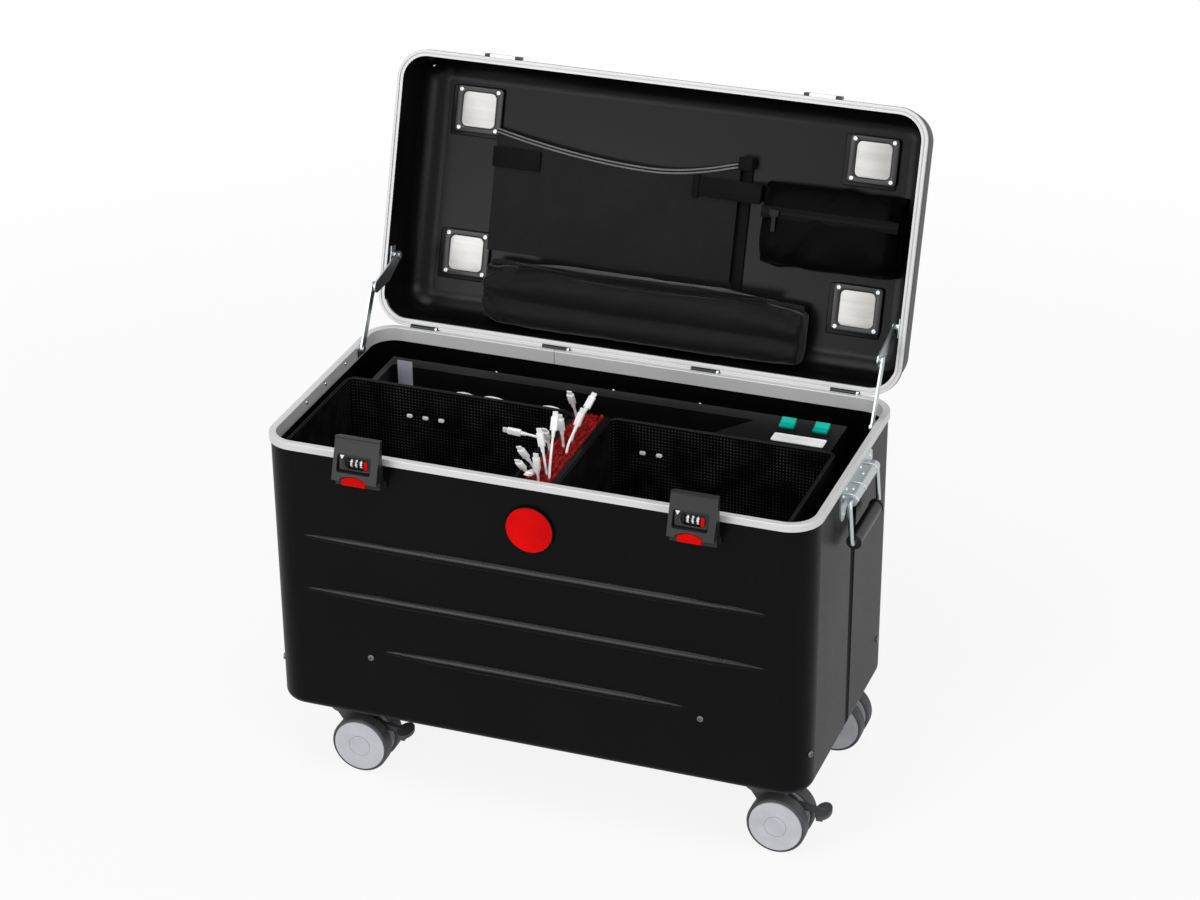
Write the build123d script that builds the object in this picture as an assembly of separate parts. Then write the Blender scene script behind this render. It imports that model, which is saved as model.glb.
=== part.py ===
from build123d import *
import os
from math import cos, radians, sin, sqrt, tan

# Tablet charging trolley case with its lid open, in millimetres.
# The origin is on the floor under the middle of the case. +Z is up, -Y is the front
# with the locks and +X is the right-hand end.
# Lid pieces are drawn with the lid shut and then swung open about the hinge line.

# Case
CASE_WIDTH = 700.0
CASE_DEPTH = 356.0
RIM_TOP = 470.0
CASE_BOTTOM = 99.0
CORNER_RADIUS = 40.0
BOTTOM_EDGE_RADIUS = 11.0
SHELL_WALL = 3.0
CASE_DRAFT = 2.0

# Moulded ribs on the long sides: drop below the rim top, and distance from the ends
RIB_UPPER_DROP = 125.0
RIB_MIDDLE_DROP = 199.0
RIB_LOWER_DROP = 271.0
RIB_LONG_END = 49.0
RIB_SHORT_END = 150.0
RIB_RADIUS = 7.4
RIB_SINK = 2.6
RIB_TAPER = 120.0

# Upright flute in each end wall
FLUTE_RADIUS = 14.0
FLUTE_DEPTH = 4.0
FLUTE_TOP_DROP = 60.0

# Aluminium rim profile, the same on case and lid
RIM_WIDTH = 9.0
RIM_LIP = 2.0
RIM_LIP_HEIGHT = 9.0
RIM_INNER_HEIGHT = 18.0
RIM_WEB = 3.0
RIM_ROUNDING = 1.0
RIM_CLEARANCE = 0.2
SEAL_GROOVE_WIDTH = 1.6
SEAL_GROOVE_DEPTH = 1.2
SEAL_GROOVE_INSET = 3.4

# Lid
LID_DEPTH = 88.0
LID_DRAFT = 7.4
LID_EDGE_RADIUS = 34.0
LID_GAP = 0.4
LID_ANGLE = 107.8

# Hinges
HINGE_END_GAP = 68.0
HINGE_PITCH = 182.0
HINGE_LENGTH = 37.0
HINGE_KNUCKLE = 2.6
HINGE_PIN = 1.2
HINGE_MIDDLE = 14.0
HINGE_LEAF = 1.6
HINGE_LEAF_HEIGHT = 26.0
HINGE_SLOT_GAP = 0.6

# Tablet compartments
TRAY_DROP = 13.0
TRAY_LEFT_GAP = 13.0
TRAY_RIGHT_GAP = 27.0
TRAY_FRONT_GAP = 4.0
CHANNEL_DEPTH = 128.0
TRAY_WALL = 5.0
POCKET_DEPTH = 282.0
POCKET_RADIUS = 8.0
TRAY_CORNER = 14.0
TRAY_FOOT_BEVEL = 24.0
WINDOW_DROP = 57.0
WINDOW_RECESS_HEIGHT = 17.0
WINDOW_RECESS_DEPTH = 2.0
WINDOW_PITCH = 21.5
LEFT_WINDOWS_INSET = 105.0
RIGHT_WINDOWS_INSET = 55.0

# Centre divider and cable comb
DIVIDER_LEFT = -26.0
DIVIDER_WIDTH = 48.0
DIVIDER_TRIM = 6.0
COMB_HEIGHT = 26.0
COMB_DROP = 2.0
COMB_SLOT_WIDTH = 5.0
COMB_SLOT_DEPTH = 17.0
COMB_SLOT_ROOM = 4.0
SEAT_GAP = 0.3

# Charging housing in the rear channel
HOUSING_DROP = 22.0
HOUSING_FRONT_GAP = 6.0
HOUSING_REAR_GAP = 39.0
HOUSING_LEFT_GAP = 36.0
HOUSING_RIGHT_GAP = 41.0
HOUSING_LEDGE = 8.0
TROUGH_REAR_LEDGE = 21.0
TROUGH_DEPTH = 35.0
PANEL_LENGTH = 113.0
PANEL_SLANT = 41.0
HOUSING_WALL = 6.0
SUPPLY_LENGTH = 320.0
SUPPLY_WIDTH = 62.0
SUPPLY_HEIGHT = 110.0
SUPPLY_RADIUS = 4.0

# Rocker switches
ROCKER_LENGTH = 18.0
ROCKER_DEPTH = 17.0
ROCKER_RISE = 5.0
ROCKER_DISH = 1.4
ROCKER_ROOT = 2.5
ROCKER_TILT = 16.0
ROCKER_GAP = 0.8
ROCKER_WELL = 12.0
ROCKER_END_GAP = 27.0
ROCKER_PITCH = 43.0
ROCKER_REAR_GAP = 20.0

# Mains inlet in the slanted end of the trough
INLET_WIDTH = 28.0
INLET_HEIGHT = 21.0
INLET_PROUD = 4.0
INLET_LIP = 3.0
INLET_PIN_PITCH = 7.0
INLET_PIN = 1.2

# Grey pull tab at the left end of the trough
TAB_WIDTH = 20.0
TAB_HEIGHT = 35.0
TAB_THICKNESS = 1.6
TAB_INSET = 7.0
TAB_RISE = 7.0

# Charging cables: radius, straight rise above the comb, plug sizes
CABLE_RADIUS = 1.6
CABLE_RISE = 1.0
LOW_CABLE_RISE = 4.2
SIDE_CABLE_RISE = 8.0
SIDE_CABLE_FREE = 32.0
BACK_CABLE_RISE = 12.0
BACK_CABLE_FREE = 51.0
TALL_CABLE_RISE = 8.0
TALL_CABLE_FREE = 44.0
PLUG_LENGTH = 17.0
PLUG_WIDTH = 9.0
PLUG_THICKNESS = 5.6
PLUG_BOOT = 8.0
PLUG_BOOT_RADIUS = 2.7
PLUG_TONGUE = 6.5
PLUG_TONGUE_WIDTH = 6.8
PLUG_TONGUE_THICKNESS = 1.8

# Routes of the cables, chosen by hand: distance of the foot from the comb's left face
# and its y, how far the plug leans to the right and to the rear for a rise of one,
# the rise above the comb up to the bend, and the free length from there to the plug
CABLE_ROUTES = (
    (11.0, 27.0, 0.0, -0.55, CABLE_RISE, 24.5),
    (26.0, -38.0, 0.18, 0.92, CABLE_RISE, 14.0),
    (32.0, -70.0, 0.29, 1.72, BACK_CABLE_RISE, BACK_CABLE_FREE),
    (36.0, -136.0, -0.11, 0.69, TALL_CABLE_RISE, TALL_CABLE_FREE),
    (23.0, -52.0, -0.02, -0.20, CABLE_RISE, 18.3),
    (7.0, -50.5, -20.0, 0.0, SIDE_CABLE_RISE, SIDE_CABLE_FREE),
    (9.0, -62.0, 0.10, -0.67, CABLE_RISE, 18.3),
    (12.0, -117.0, -0.26, -0.65, CABLE_RISE, 19.5),
    (30.0, -126.0, -0.17, 0.02, CABLE_RISE, 29.4),
    (27.0, -147.0, 0.03, -0.24, CABLE_RISE, 13.4),
    (11.0, -138.0, -0.11, -0.86, LOW_CABLE_RISE, 11.4),
    (18.0, -119.0, 0.0, -3.40, LOW_CABLE_RISE, 14.4),
)

# Slack loops of cable in the trough, chosen by hand: middle x, y and rise of each,
# and the loop's outline in shares of its half length and its rise
LOOP_HALF = 34.0
SLACK_LOOPS = (
    (-179.0, 66.0, 32.0),
    (-143.0, 74.0, 28.0),
    (-63.0, 67.0, 31.5),
)
LOOP_OUTLINE = (
    (-0.90, 0.0),
    (-0.90, 0.58),
    (-0.36, 1.0),
    (0.28, 0.97),
    (0.84, 0.56),
    (0.84, 0.0),
)

# Front badge
BADGE_RADIUS = 31.5
BADGE_THICKNESS = 3.0
BADGE_DROP = 63.0
BADGE_SEAT = 0.6

# Combination locks
LOCK_END_GAP = 139.0
LOCK_WIDTH = 58.0
LOCK_RISE = 29.0
LOCK_PIN_DROP = 33.5
LOCK_PIN_OUT = 6.0
LOCK_PIN = 1.6
LOCK_KNUCKLE = 3.5
LOCK_KNUCKLE_WIDTH = 30.0
LOCK_LUG_WIDTH = 8.0
LOCK_BASE_PLATE = 4.0
LOCK_BASE_GAP = 0.4
LOCK_BLOCK_INSET = 3.0
FLAP_STANDOFF = 10.0
FLAP_THICKNESS = 10.0
FLAP_HEAD = 3.6
FLAP_FOOT = 21.0
FLAP_FOOT_RISE = 11.0
FLAP_LIP = 1.4
FLAP_EDGE = 1.5
FLAP_ARCH = 1.5
FLAP_NOSE = 5.0
FLAP_NOSE_HEIGHT = 8.0
FLAP_FLOOR = 1.0
WINDOW_WIDTH = 44.0
WINDOW_HEIGHT = 21.5
WINDOW_RADIUS = 3.0
WINDOW_SHADE = 2.0
WINDOW_OFFSET = -2.0
WINDOW_CENTRE_DROP = 1.3
DIAL_RADIUS = 5.6
DIAL_WIDTH = 5.6
DIAL_PITCH = 6.2
DIAL_AXLE = 1.5
DIAL_DROP = 2.0
DIAL_PROUD = 1.2
DIAL_GAP = 0.6
DIAL_NOTCH = 0.7
DIAL_MARKS = 10
BUTTON_WIDTH = 30.0
BUTTON_HEIGHT = 12.0
BUTTON_CROWN = 4.0
BUTTON_RISE = 5.0
BUTTON_PROUD = 8.0
BUTTON_LENGTH = 11.5
BUTTON_OFFSET = -2.0
BUTTON_GAP = 0.3
BUTTON_TRAVEL = 2.5
CATCH_WIDTH = 48.0
CATCH_PROUD = 4.0
CATCH_HEIGHT = 12.0
CATCH_RISE = 4.0

# Bail handles on the end walls
BRACKET_LENGTH = 134.0
BRACKET_HEIGHT = 40.0
BRACKET_PLATE = 2.0
BRACKET_DROP = 9.5
BRACKET_EAR = 11.0
BARREL_RADIUS = 6.5
BARREL_LENGTH = 100.0
BARREL_OUT = 8.0
BARREL_DROP = 26.0
BAIL_RADIUS = 3.0
BAIL_SPAN = 116.0
BAIL_ARM = 54.0
BAIL_LEAN = 4.0
BAIL_BEND = 7.0
BAIL_HOOK = 16.0
GRIP_RADIUS = 8.5
GRIP_LENGTH = 98.0
GRIP_FLANGE = 9.5
GRIP_FLANGE_WIDTH = 4.0

# Casters
CASTER_END_GAP = 75.0
CASTER_SIDE_GAP = 56.0
WHEEL_RADIUS = 37.5
WHEEL_WIDTH = 20.0
WHEEL_ROUNDING = 3.5
WHEEL_DISC_RADIUS = 33.5
WHEEL_DISC_GROOVE = 1.2
WHEEL_CAP_RADIUS = 13.5
WHEEL_CAP_GROOVE = 0.7
WHEEL_SIDE_GAP = 1.0
CASTER_TRAIL = 27.0
FORK_WIDTH = 12.0
FORK_HEAD_RADIUS = 20.0
FORK_HEAD_HEIGHT = 12.0
FORK_HEAD_GAP = 6.0
FORK_NECK_RADIUS = 14.0
FORK_HUB_RADIUS = 13.0
FORK_EAR_RADIUS = 8.0
AXLE_RADIUS = 4.0
AXLE_DEPTH = 13.0
KING_PIN_RADIUS = 4.0
KING_PIN_LENGTH = 34.0
PLATE_LENGTH = 48.0
PLATE_WIDTH = 40.0
PLATE_THICKNESS = 3.0
BEARING_RADIUS = 16.0
PEDAL_PIVOT_AHEAD = 11.0
PEDAL_PIVOT_UP = 20.5
PEDAL_PIN = 2.0
PEDAL_ARM = 6.0
PEDAL_REACH = 42.0
PEDAL_LENGTH = 20.0
PEDAL_WIDTH = 34.0
PEDAL_THICKNESS = 5.0
PEDAL_DROP = 3.0
PEDAL_TOE_LENGTH = 8.0
PEDAL_TOE_HEIGHT = 12.0
PEDAL_KNUCKLE = 5.0

# Lid stays: pivots as distances from the hinge line
STAY_CASE_REACH = 72.0
STAY_CASE_DROP = 6.0
STAY_LID_REACH = 87.0
STAY_LID_DEPTH = 15.0
STAY_ELBOW_REACH = 31.0
STAY_ELBOW_RISE = 65.0
STAY_PLATE = 2.0
STAY_PIN = 2.5
STAY_HEAD = 4.5
STAY_HEAD_HEIGHT = 1.5
STAY_GAP = 0.5
STAY_END = 6.0
STAY_SICKLE = 8.0
STAY_BULGE = 9.0
STAY_STUB = 4.0
STAY_STUB_HEIGHT = 1.2
STAY_BRACKET_LENGTH = 24.0
STAY_BRACKET_HEIGHT = 13.0

# Corner pads in the lid
PAD_END_GAP = 48.0
PAD_REAR_GAP = 62.0
PAD_FRONT_GAP = 44.0
PAD_LENGTH = 74.0
PAD_WIDTH = 62.0
PAD_HEIGHT = 9.0
PAD_BEVEL = 4.0
PAD_CORNER = 5.0
PAD_PLATE_LENGTH = 54.0
PAD_PLATE_WIDTH = 44.0
PAD_PLATE_CORNER = 8.0
PAD_PLATE_SINK = 2.0
PAD_PLATE_PROUD = 0.4

# Soft pieces in the lid, as distances from the hinge line and from the rim plane
POCKET_END_GAP = 124.0
POCKET_POUCH_GAP = 29.0
POCKET_FOOT = 102.0
POCKET_LEFT_TOP = 262.0
POCKET_RIGHT_TOP = 258.0
POCKET_SAG_INSET = 206.0
POCKET_SAG_TOP = 236.0
POCKET_THICKNESS = 14.0
POUCH_END_GAP = 32.0
POUCH_WIDTH = 181.0
POUCH_FOOT_GAP = 11.0
POUCH_TOP_GAP = 7.0
POUCH_THICKNESS = 32.0
POUCH_ROUNDING = 12.0
BAG_LEFT_GAP = 132.0
BAG_RIGHT_GAP = 138.0
BAG_FOOT = 15.0
BAG_TOP = 95.0
BAG_THICKNESS = 62.0
BAG_ROUNDING = 26.0
BAG_END_ROUNDING = 18.0
SOFT_GAP = 0.3

# Zip slider
ZIP_DROP = 40.0
SLIDER_START = 16.0
SLIDER_LENGTH = 12.0
SLIDER_WIDTH = 8.0
SLIDER_THICKNESS = 4.0
PULL_LENGTH = 24.0
PULL_WIDTH = 5.0
PULL_THICKNESS = 1.5

RUNNING_FIT = 0.05
PAST = 1.0

# Places worked out from the sizes above
INNER_X = CASE_WIDTH / 2 - RIM_WIDTH
INNER_Y = CASE_DEPTH / 2 - RIM_WIDTH
FLOOR_Z = CASE_BOTTOM + SHELL_WALL
FRONT_Y = -CASE_DEPTH / 2
SHELL_TOP = RIM_TOP - RIM_WEB
HINGE_Y = CASE_DEPTH / 2
HINGE_Z = RIM_TOP + LID_GAP / 2
LID_MATING_Z = RIM_TOP + LID_GAP
LID_FLOOR_Z = LID_MATING_Z + LID_DEPTH - SHELL_WALL
TRAY_LEFT = TRAY_LEFT_GAP - INNER_X
TRAY_RIGHT = INNER_X - TRAY_RIGHT_GAP
TRAY_FRONT = TRAY_FRONT_GAP - INNER_Y
TRAY_REAR = INNER_Y - CHANNEL_DEPTH
TRAY_TOP = RIM_TOP - TRAY_DROP
DIVIDER_RIGHT = DIVIDER_LEFT + DIVIDER_WIDTH
COMB_TOP = TRAY_TOP - COMB_DROP
COMB_BASE = COMB_TOP - COMB_HEIGHT
HOUSING_TOP = RIM_TOP - HOUSING_DROP
FORK_HEAD_TOP = CASE_BOTTOM - PLATE_THICKNESS - FORK_HEAD_GAP
HOUSING_LEFT = HOUSING_LEFT_GAP - INNER_X
HOUSING_RIGHT = INNER_X - HOUSING_RIGHT_GAP
HOUSING_FRONT = TRAY_REAR + HOUSING_FRONT_GAP
HOUSING_REAR = INNER_Y - HOUSING_REAR_GAP
TROUGH_LEFT = HOUSING_LEFT + HOUSING_LEDGE
TROUGH_RIGHT = HOUSING_RIGHT - PANEL_LENGTH
TROUGH_FRONT = HOUSING_FRONT + HOUSING_LEDGE
TROUGH_REAR = HOUSING_REAR - TROUGH_REAR_LEDGE
TROUGH_FLOOR = HOUSING_TOP - TROUGH_DEPTH
POUCH_RIGHT = CASE_WIDTH / 2 - POUCH_END_GAP
POUCH_LEFT = POUCH_RIGHT - POUCH_WIDTH
POUCH_FOOT = PAD_REAR_GAP + PAD_WIDTH + POUCH_FOOT_GAP
POUCH_TOP = CASE_DEPTH - PAD_FRONT_GAP - PAD_WIDTH - POUCH_TOP_GAP
ZIP_HEIGHT = POUCH_TOP - ZIP_DROP
POCKET_LEFT = POCKET_END_GAP - CASE_WIDTH / 2
POCKET_RIGHT = POUCH_LEFT - POCKET_POUCH_GAP
BAG_LEFT = BAG_LEFT_GAP - CASE_WIDTH / 2
BAG_RIGHT = CASE_WIDTH / 2 - BAG_RIGHT_GAP
LOCK_X = CASE_WIDTH / 2 - LOCK_END_GAP
CASTER_X = CASE_WIDTH / 2 - CASTER_END_GAP
CASTER_Y = CASE_DEPTH / 2 - CASTER_SIDE_GAP
SIDES = (("left", -1), ("right", 1))
CASTERS = (
    ("front_left", -1, -1),
    ("front_right", 1, -1),
    ("rear_left", -1, 1),
    ("rear_right", 1, 1),
)
LID_SWING = Pos(0, HINGE_Y, HINGE_Z) * Rot(-LID_ANGLE, 0, 0) * Pos(0, -HINGE_Y, -HINGE_Z)


# Small drawing helpers


def box(x, y, z):
    """A block between the low and high value on each axis."""
    spans = [(min(pair), max(pair)) for pair in (x, y, z)]
    middle = [(low + high) / 2 for low, high in spans]
    return Pos(*middle) * Box(*[high - low for low, high in spans])


def prism(sketch, low, high):
    """A flat sketch drawn up from one height to another."""
    return extrude(Plane.XY.offset(low) * sketch, amount=high - low)


def rod(start, end, radius):
    """A round bar between two points."""
    way = Vector(*end) - Vector(*start)
    return extrude(Plane(origin=start, z_dir=way) * Circle(radius), amount=way.length)


def side_plate(sketch, x, thickness):
    """A sketch drawn in Y and Z, made a plate that starts at x and runs along X."""
    return extrude(Plane.YZ.offset(x) * sketch, amount=thickness)


def upright_plate(sketch, y, thickness):
    """A sketch drawn in X and Z, made a plate centred on y."""
    plane = Plane(origin=(0, y + thickness / 2, 0), x_dir=(1, 0, 0), z_dir=(0, -1, 0))
    return extrude(plane * sketch, amount=thickness)


def group(shapes):
    """Separate solids that share one node."""
    return Compound(children=list(shapes))


def case_plan(inset):
    """The rounded outline of the case seen from above, drawn in by inset."""
    return RectangleRounded(
        CASE_WIDTH - 2 * inset, CASE_DEPTH - 2 * inset, CORNER_RADIUS - inset
    )


def wall_inset(z):
    """How far the drafted shell stands inside the rim's outer face at a height."""
    return RIM_LIP + CASE_DRAFT * (SHELL_TOP - z) / (SHELL_TOP - CASE_BOTTOM)


def front_wall(z):
    """Y of the shell's front face at a height."""
    return FRONT_Y + wall_inset(z)


def open_lid(shape):
    """Swing a piece that was drawn with the lid shut to the open lid."""
    return LID_SWING * shape


# Case


def case_form(inset, bottom):
    """The case's drafted block with a rounded foot."""
    low = Plane.XY.offset(bottom) * case_plan(RIM_LIP + CASE_DRAFT + inset)
    high = Plane.XY.offset(SHELL_TOP) * case_plan(RIM_LIP + inset)
    form = loft([low.face(), high.face()], ruled=True)
    return fillet(form.edges().group_by(Axis.Z)[0], BOTTOM_EDGE_RADIUS - inset)


def moulded_rib(end_gap, drop, side):
    """A slender bar sunk in the wall, with ends that curve down until the rib fades out."""
    half = CASE_WIDTH / 2 - end_gap
    full = half - RIB_TAPER
    middle = (half + full) / 2, RIB_RADIUS - (RIB_RADIUS - RIB_SINK) / 4
    left = ThreePointArc((-half, RIB_SINK), (-middle[0], middle[1]), (-full, RIB_RADIUS))
    right = ThreePointArc((full, RIB_RADIUS), middle, (half, RIB_SINK))
    crown = left + Line((-full, RIB_RADIUS), (full, RIB_RADIUS)) + right
    base = Polyline((half, RIB_SINK), (half, 0), (-half, 0), (-half, RIB_SINK))
    spindle = revolve(make_face((crown + base).edges()), Axis.X)
    z = RIM_TOP - drop
    return Pos(0, side * (-front_wall(z) - RIB_SINK), z) * spindle


def end_flute(side, extra):
    """An upright round groove in an end wall, with a domed top."""
    top = RIM_TOP - FLUTE_TOP_DROP
    x = side * (CASE_WIDTH / 2 - wall_inset(top) + FLUTE_RADIUS - FLUTE_DEPTH)
    groove = rod((x, 0, 0), (x, 0, top), FLUTE_RADIUS + extra)
    return groove + Pos(x, 0, top) * Sphere(FLUTE_RADIUS + extra)


def body_shell():
    outer = case_form(0, CASE_BOTTOM)
    inner = case_form(SHELL_WALL, FLOOR_Z)
    for side in (-1, 1):
        outer += moulded_rib(RIB_LONG_END, RIB_UPPER_DROP, side)
        outer += moulded_rib(RIB_LONG_END, RIB_MIDDLE_DROP, side)
        outer += moulded_rib(RIB_SHORT_END, RIB_LOWER_DROP, side)
        outer -= end_flute(side, 0)
        inner -= end_flute(side, SHELL_WALL)
    return outer - inner


def rim_frame(mating_z, away, lean):
    """Rim profile: a web with an outer lip and a deeper inner wall around the shell's edge.

    The slot is wider by lean, which is how far the drafted shell leans in over its height.
    """

    def ring(outer_inset, inner_inset, start, end):
        sketch = case_plan(outer_inset) - case_plan(inner_inset)
        heights = sorted((mating_z + away * start, mating_z + away * end))
        return prism(sketch, *heights)

    slot_inset = RIM_LIP + SHELL_WALL + lean + RIM_CLEARANCE
    frame = ring(0, RIM_WIDTH, 0, RIM_INNER_HEIGHT)
    frame -= ring(RIM_LIP, slot_inset, RIM_WEB, RIM_INNER_HEIGHT + PAST)
    frame -= ring(-PAST, RIM_LIP + RIM_CLEARANCE, RIM_LIP_HEIGHT, RIM_INNER_HEIGHT + PAST)
    mating_edges = frame.edges().group_by(Axis.Z)[-1 if away < 0 else 0]
    frame = fillet(mating_edges, RIM_ROUNDING)
    reach = HINGE_KNUCKLE + HINGE_SLOT_GAP
    for x in hinge_places():
        half = HINGE_LENGTH / 2 + HINGE_SLOT_GAP
        frame -= box(
            (x - half, x + half),
            (HINGE_Y - reach, HINGE_Y + PAST),
            (HINGE_Z - reach, HINGE_Z + reach),
        )
    return frame


def body_rim():
    lean = CASE_DRAFT * RIM_INNER_HEIGHT / (SHELL_TOP - CASE_BOTTOM)
    return rim_frame(RIM_TOP, -1, lean)


def lid_rim():
    # The lid keeps its corner radius as it narrows, so its corners lean in along the diagonal
    lean = sqrt(2) * LID_DRAFT * RIM_INNER_HEIGHT / (LID_DEPTH - RIM_WEB)
    frame = rim_frame(LID_MATING_Z, 1, lean)
    groove = case_plan(SEAL_GROOVE_INSET) - case_plan(SEAL_GROOVE_INSET + SEAL_GROOVE_WIDTH)
    frame -= prism(groove, LID_MATING_Z - PAST, LID_MATING_Z + SEAL_GROOVE_DEPTH)
    return open_lid(frame)


def badge_disc():
    y = front_wall(RIM_TOP - BADGE_DROP) - BADGE_THICKNESS
    disc = rod(
        (0, y, RIM_TOP - BADGE_DROP),
        (0, y + BADGE_THICKNESS - BADGE_SEAT / 2, RIM_TOP - BADGE_DROP),
        BADGE_RADIUS,
    )
    return fillet(disc.edges().group_by(Axis.Y)[0], BADGE_SEAT)


# Compartments, divider and comb


def window_places():
    """Centre and count of the indicator windows in each tray's rear wall."""
    return {"left": (TRAY_LEFT + LEFT_WINDOWS_INSET, 3), "right": (DIVIDER_RIGHT + RIGHT_WINDOWS_INSET, 2)}


def tray(side):
    """A deep liner with a bevelled foot and a shallow window recess in its rear wall."""
    spans = {
        "left": (TRAY_LEFT, DIVIDER_LEFT - SEAT_GAP),
        "right": (DIVIDER_RIGHT + SEAT_GAP, TRAY_RIGHT),
    }
    x0, x1 = spans[side]
    length, width = x1 - x0, TRAY_REAR - TRAY_FRONT
    foot_top = FLOOR_Z + TRAY_FOOT_BEVEL
    middle = Pos((x0 + x1) / 2, (TRAY_FRONT + TRAY_REAR) / 2)
    full = middle * RectangleRounded(length, width, TRAY_CORNER)
    small = RectangleRounded(length - 2 * TRAY_FOOT_BEVEL, width - 2 * TRAY_FOOT_BEVEL, TRAY_CORNER)
    sections = [Plane.XY.offset(FLOOR_Z) * middle * small, Plane.XY.offset(foot_top) * full]
    block = prism(full, foot_top, TRAY_TOP) + loft([one.face() for one in sections], ruled=True)
    pocket = box(
        (x0 + TRAY_WALL, x1 - TRAY_WALL),
        (TRAY_FRONT + TRAY_WALL, TRAY_REAR - TRAY_WALL),
        (TRAY_TOP - POCKET_DEPTH, TRAY_TOP + PAST),
    )
    pocket = fillet(pocket.edges().filter_by(Axis.Z), POCKET_RADIUS)
    centre, count = window_places()[side]
    half = count * WINDOW_PITCH / 2
    z = RIM_TOP - WINDOW_DROP
    recess = box(
        (centre - half, centre + half),
        (TRAY_REAR - TRAY_WALL - PAST, TRAY_REAR - TRAY_WALL + WINDOW_RECESS_DEPTH),
        (z - WINDOW_RECESS_HEIGHT / 2, z + WINDOW_RECESS_HEIGHT / 2),
    )
    return block - pocket - recess


def centre_divider():
    block = box(
        (DIVIDER_LEFT, DIVIDER_RIGHT), (TRAY_FRONT, TRAY_REAR), (FLOOR_Z, TRAY_TOP)
    )
    foot = block.edges().group_by(Axis.Z)[0].filter_by(Axis.X).sort_by(Axis.Y)[0]
    block = fillet(foot, BOTTOM_EDGE_RADIUS)
    seat = box(
        (DIVIDER_LEFT - PAST, DIVIDER_RIGHT - DIVIDER_TRIM),
        (TRAY_FRONT - PAST, TRAY_REAR + PAST),
        (COMB_BASE, TRAY_TOP + PAST),
    )
    return block - seat


def cable_comb():
    """A toothed strip: each cable stands in a slot that is open to the left."""
    strip = box(
        (DIVIDER_LEFT, DIVIDER_RIGHT - DIVIDER_TRIM), (TRAY_FRONT, TRAY_REAR), (COMB_BASE, COMB_TOP)
    )
    for inset, y, _, _, _, _ in CABLE_ROUTES:
        strip -= box(
            (DIVIDER_LEFT - PAST, DIVIDER_LEFT + inset + COMB_SLOT_ROOM),
            (y - COMB_SLOT_WIDTH / 2, y + COMB_SLOT_WIDTH / 2),
            (COMB_TOP - COMB_SLOT_DEPTH, COMB_TOP + PAST),
        )
    return strip


def cable_route(route):
    """Foot, bend and plug end of one cable, and the way that its plug points."""
    inset, y, lean_x, lean_y, rise, free = route
    x = DIVIDER_LEFT + inset
    foot = Vector(x, y, COMB_TOP - COMB_SLOT_DEPTH)
    bend = Vector(x, y, COMB_TOP + rise)
    way = Vector(lean_x, lean_y, 1).normalized()
    return foot, bend, bend + way * free, way


def cable_tube(points):
    """A round cable along a route, with each corner rounded as widely as its runs allow."""
    radii = []
    for before, corner, after in zip(points, points[1:], points[2:]):
        turn = radians((corner - before).get_angle(after - corner))
        radii.append(0.45 * min((corner - before).length, (after - corner).length) / tan(turn / 2))
    line = FilletPolyline(*points, radius=radii)
    start = Plane(origin=points[0], z_dir=points[1] - points[0])
    tube = sweep(start * Circle(CABLE_RADIUS), path=line)
    section = Circle(CABLE_RADIUS).area
    fill = tube.volume / (section * line.length)
    print("cable bend", round(min(radii), 1), "fill", round(fill, 4))
    return tube


def charging_cable(route):
    foot, bend, end, _ = cable_route(route)
    return cable_tube([foot, bend, end])


def slack_loop(middle, y, rise):
    """A length of cable that comes up from the trough's floor and goes back into it."""
    return cable_tube(
        [Vector(middle + a * LOOP_HALF, y, TROUGH_FLOOR + b * rise) for a, b in LOOP_OUTLINE]
    )


def cables():
    return [charging_cable(route) for route in CABLE_ROUTES] + [slack_loop(*loop) for loop in SLACK_LOOPS]


def cable_plug(route):
    """Tapered boot, flat moulded body and metal tongue, in line with the cable's end."""
    _, _, end, way = cable_route(route)
    frame = Plane(origin=end, x_dir=(1, 0, -way.X / way.Z), z_dir=way)
    boot = extrude(frame * Circle(PLUG_BOOT_RADIUS), amount=PLUG_BOOT)
    body = extrude(
        frame.offset(PLUG_BOOT) * RectangleRounded(PLUG_WIDTH, PLUG_THICKNESS, PLUG_THICKNESS / 2.2),
        amount=PLUG_LENGTH,
    )
    tongue = extrude(
        frame.offset(PLUG_BOOT + PLUG_LENGTH)
        * RectangleRounded(PLUG_TONGUE_WIDTH, PLUG_TONGUE_THICKNESS, PLUG_TONGUE_THICKNESS / 2.2),
        amount=PLUG_TONGUE,
    )
    return boot + body + tongue


# Charging housing


def rocker_places():
    last = HOUSING_RIGHT - ROCKER_END_GAP
    return [last - ROCKER_PITCH, last]


def rocker_y():
    return HOUSING_REAR - ROCKER_REAR_GAP


def trough_outline():
    """The open trough seen from above, with its slanted right-hand end."""
    return make_face(
        Polyline(
            (TROUGH_LEFT, TROUGH_FRONT),
            (TROUGH_RIGHT - PANEL_SLANT, TROUGH_FRONT),
            (TROUGH_RIGHT, TROUGH_REAR),
            (TROUGH_LEFT, TROUGH_REAR),
            close=True,
        ).edges()
    )


def supply_bay():
    """Low corner and size of the closed space for the power supply."""
    low = (HOUSING_LEFT + HOUSING_WALL, HOUSING_FRONT + HOUSING_WALL, FLOOR_Z + HOUSING_WALL)
    return low, (SUPPLY_LENGTH + 2 * SEAT_GAP, SUPPLY_WIDTH + 2 * SEAT_GAP, SUPPLY_HEIGHT + SEAT_GAP)


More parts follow.
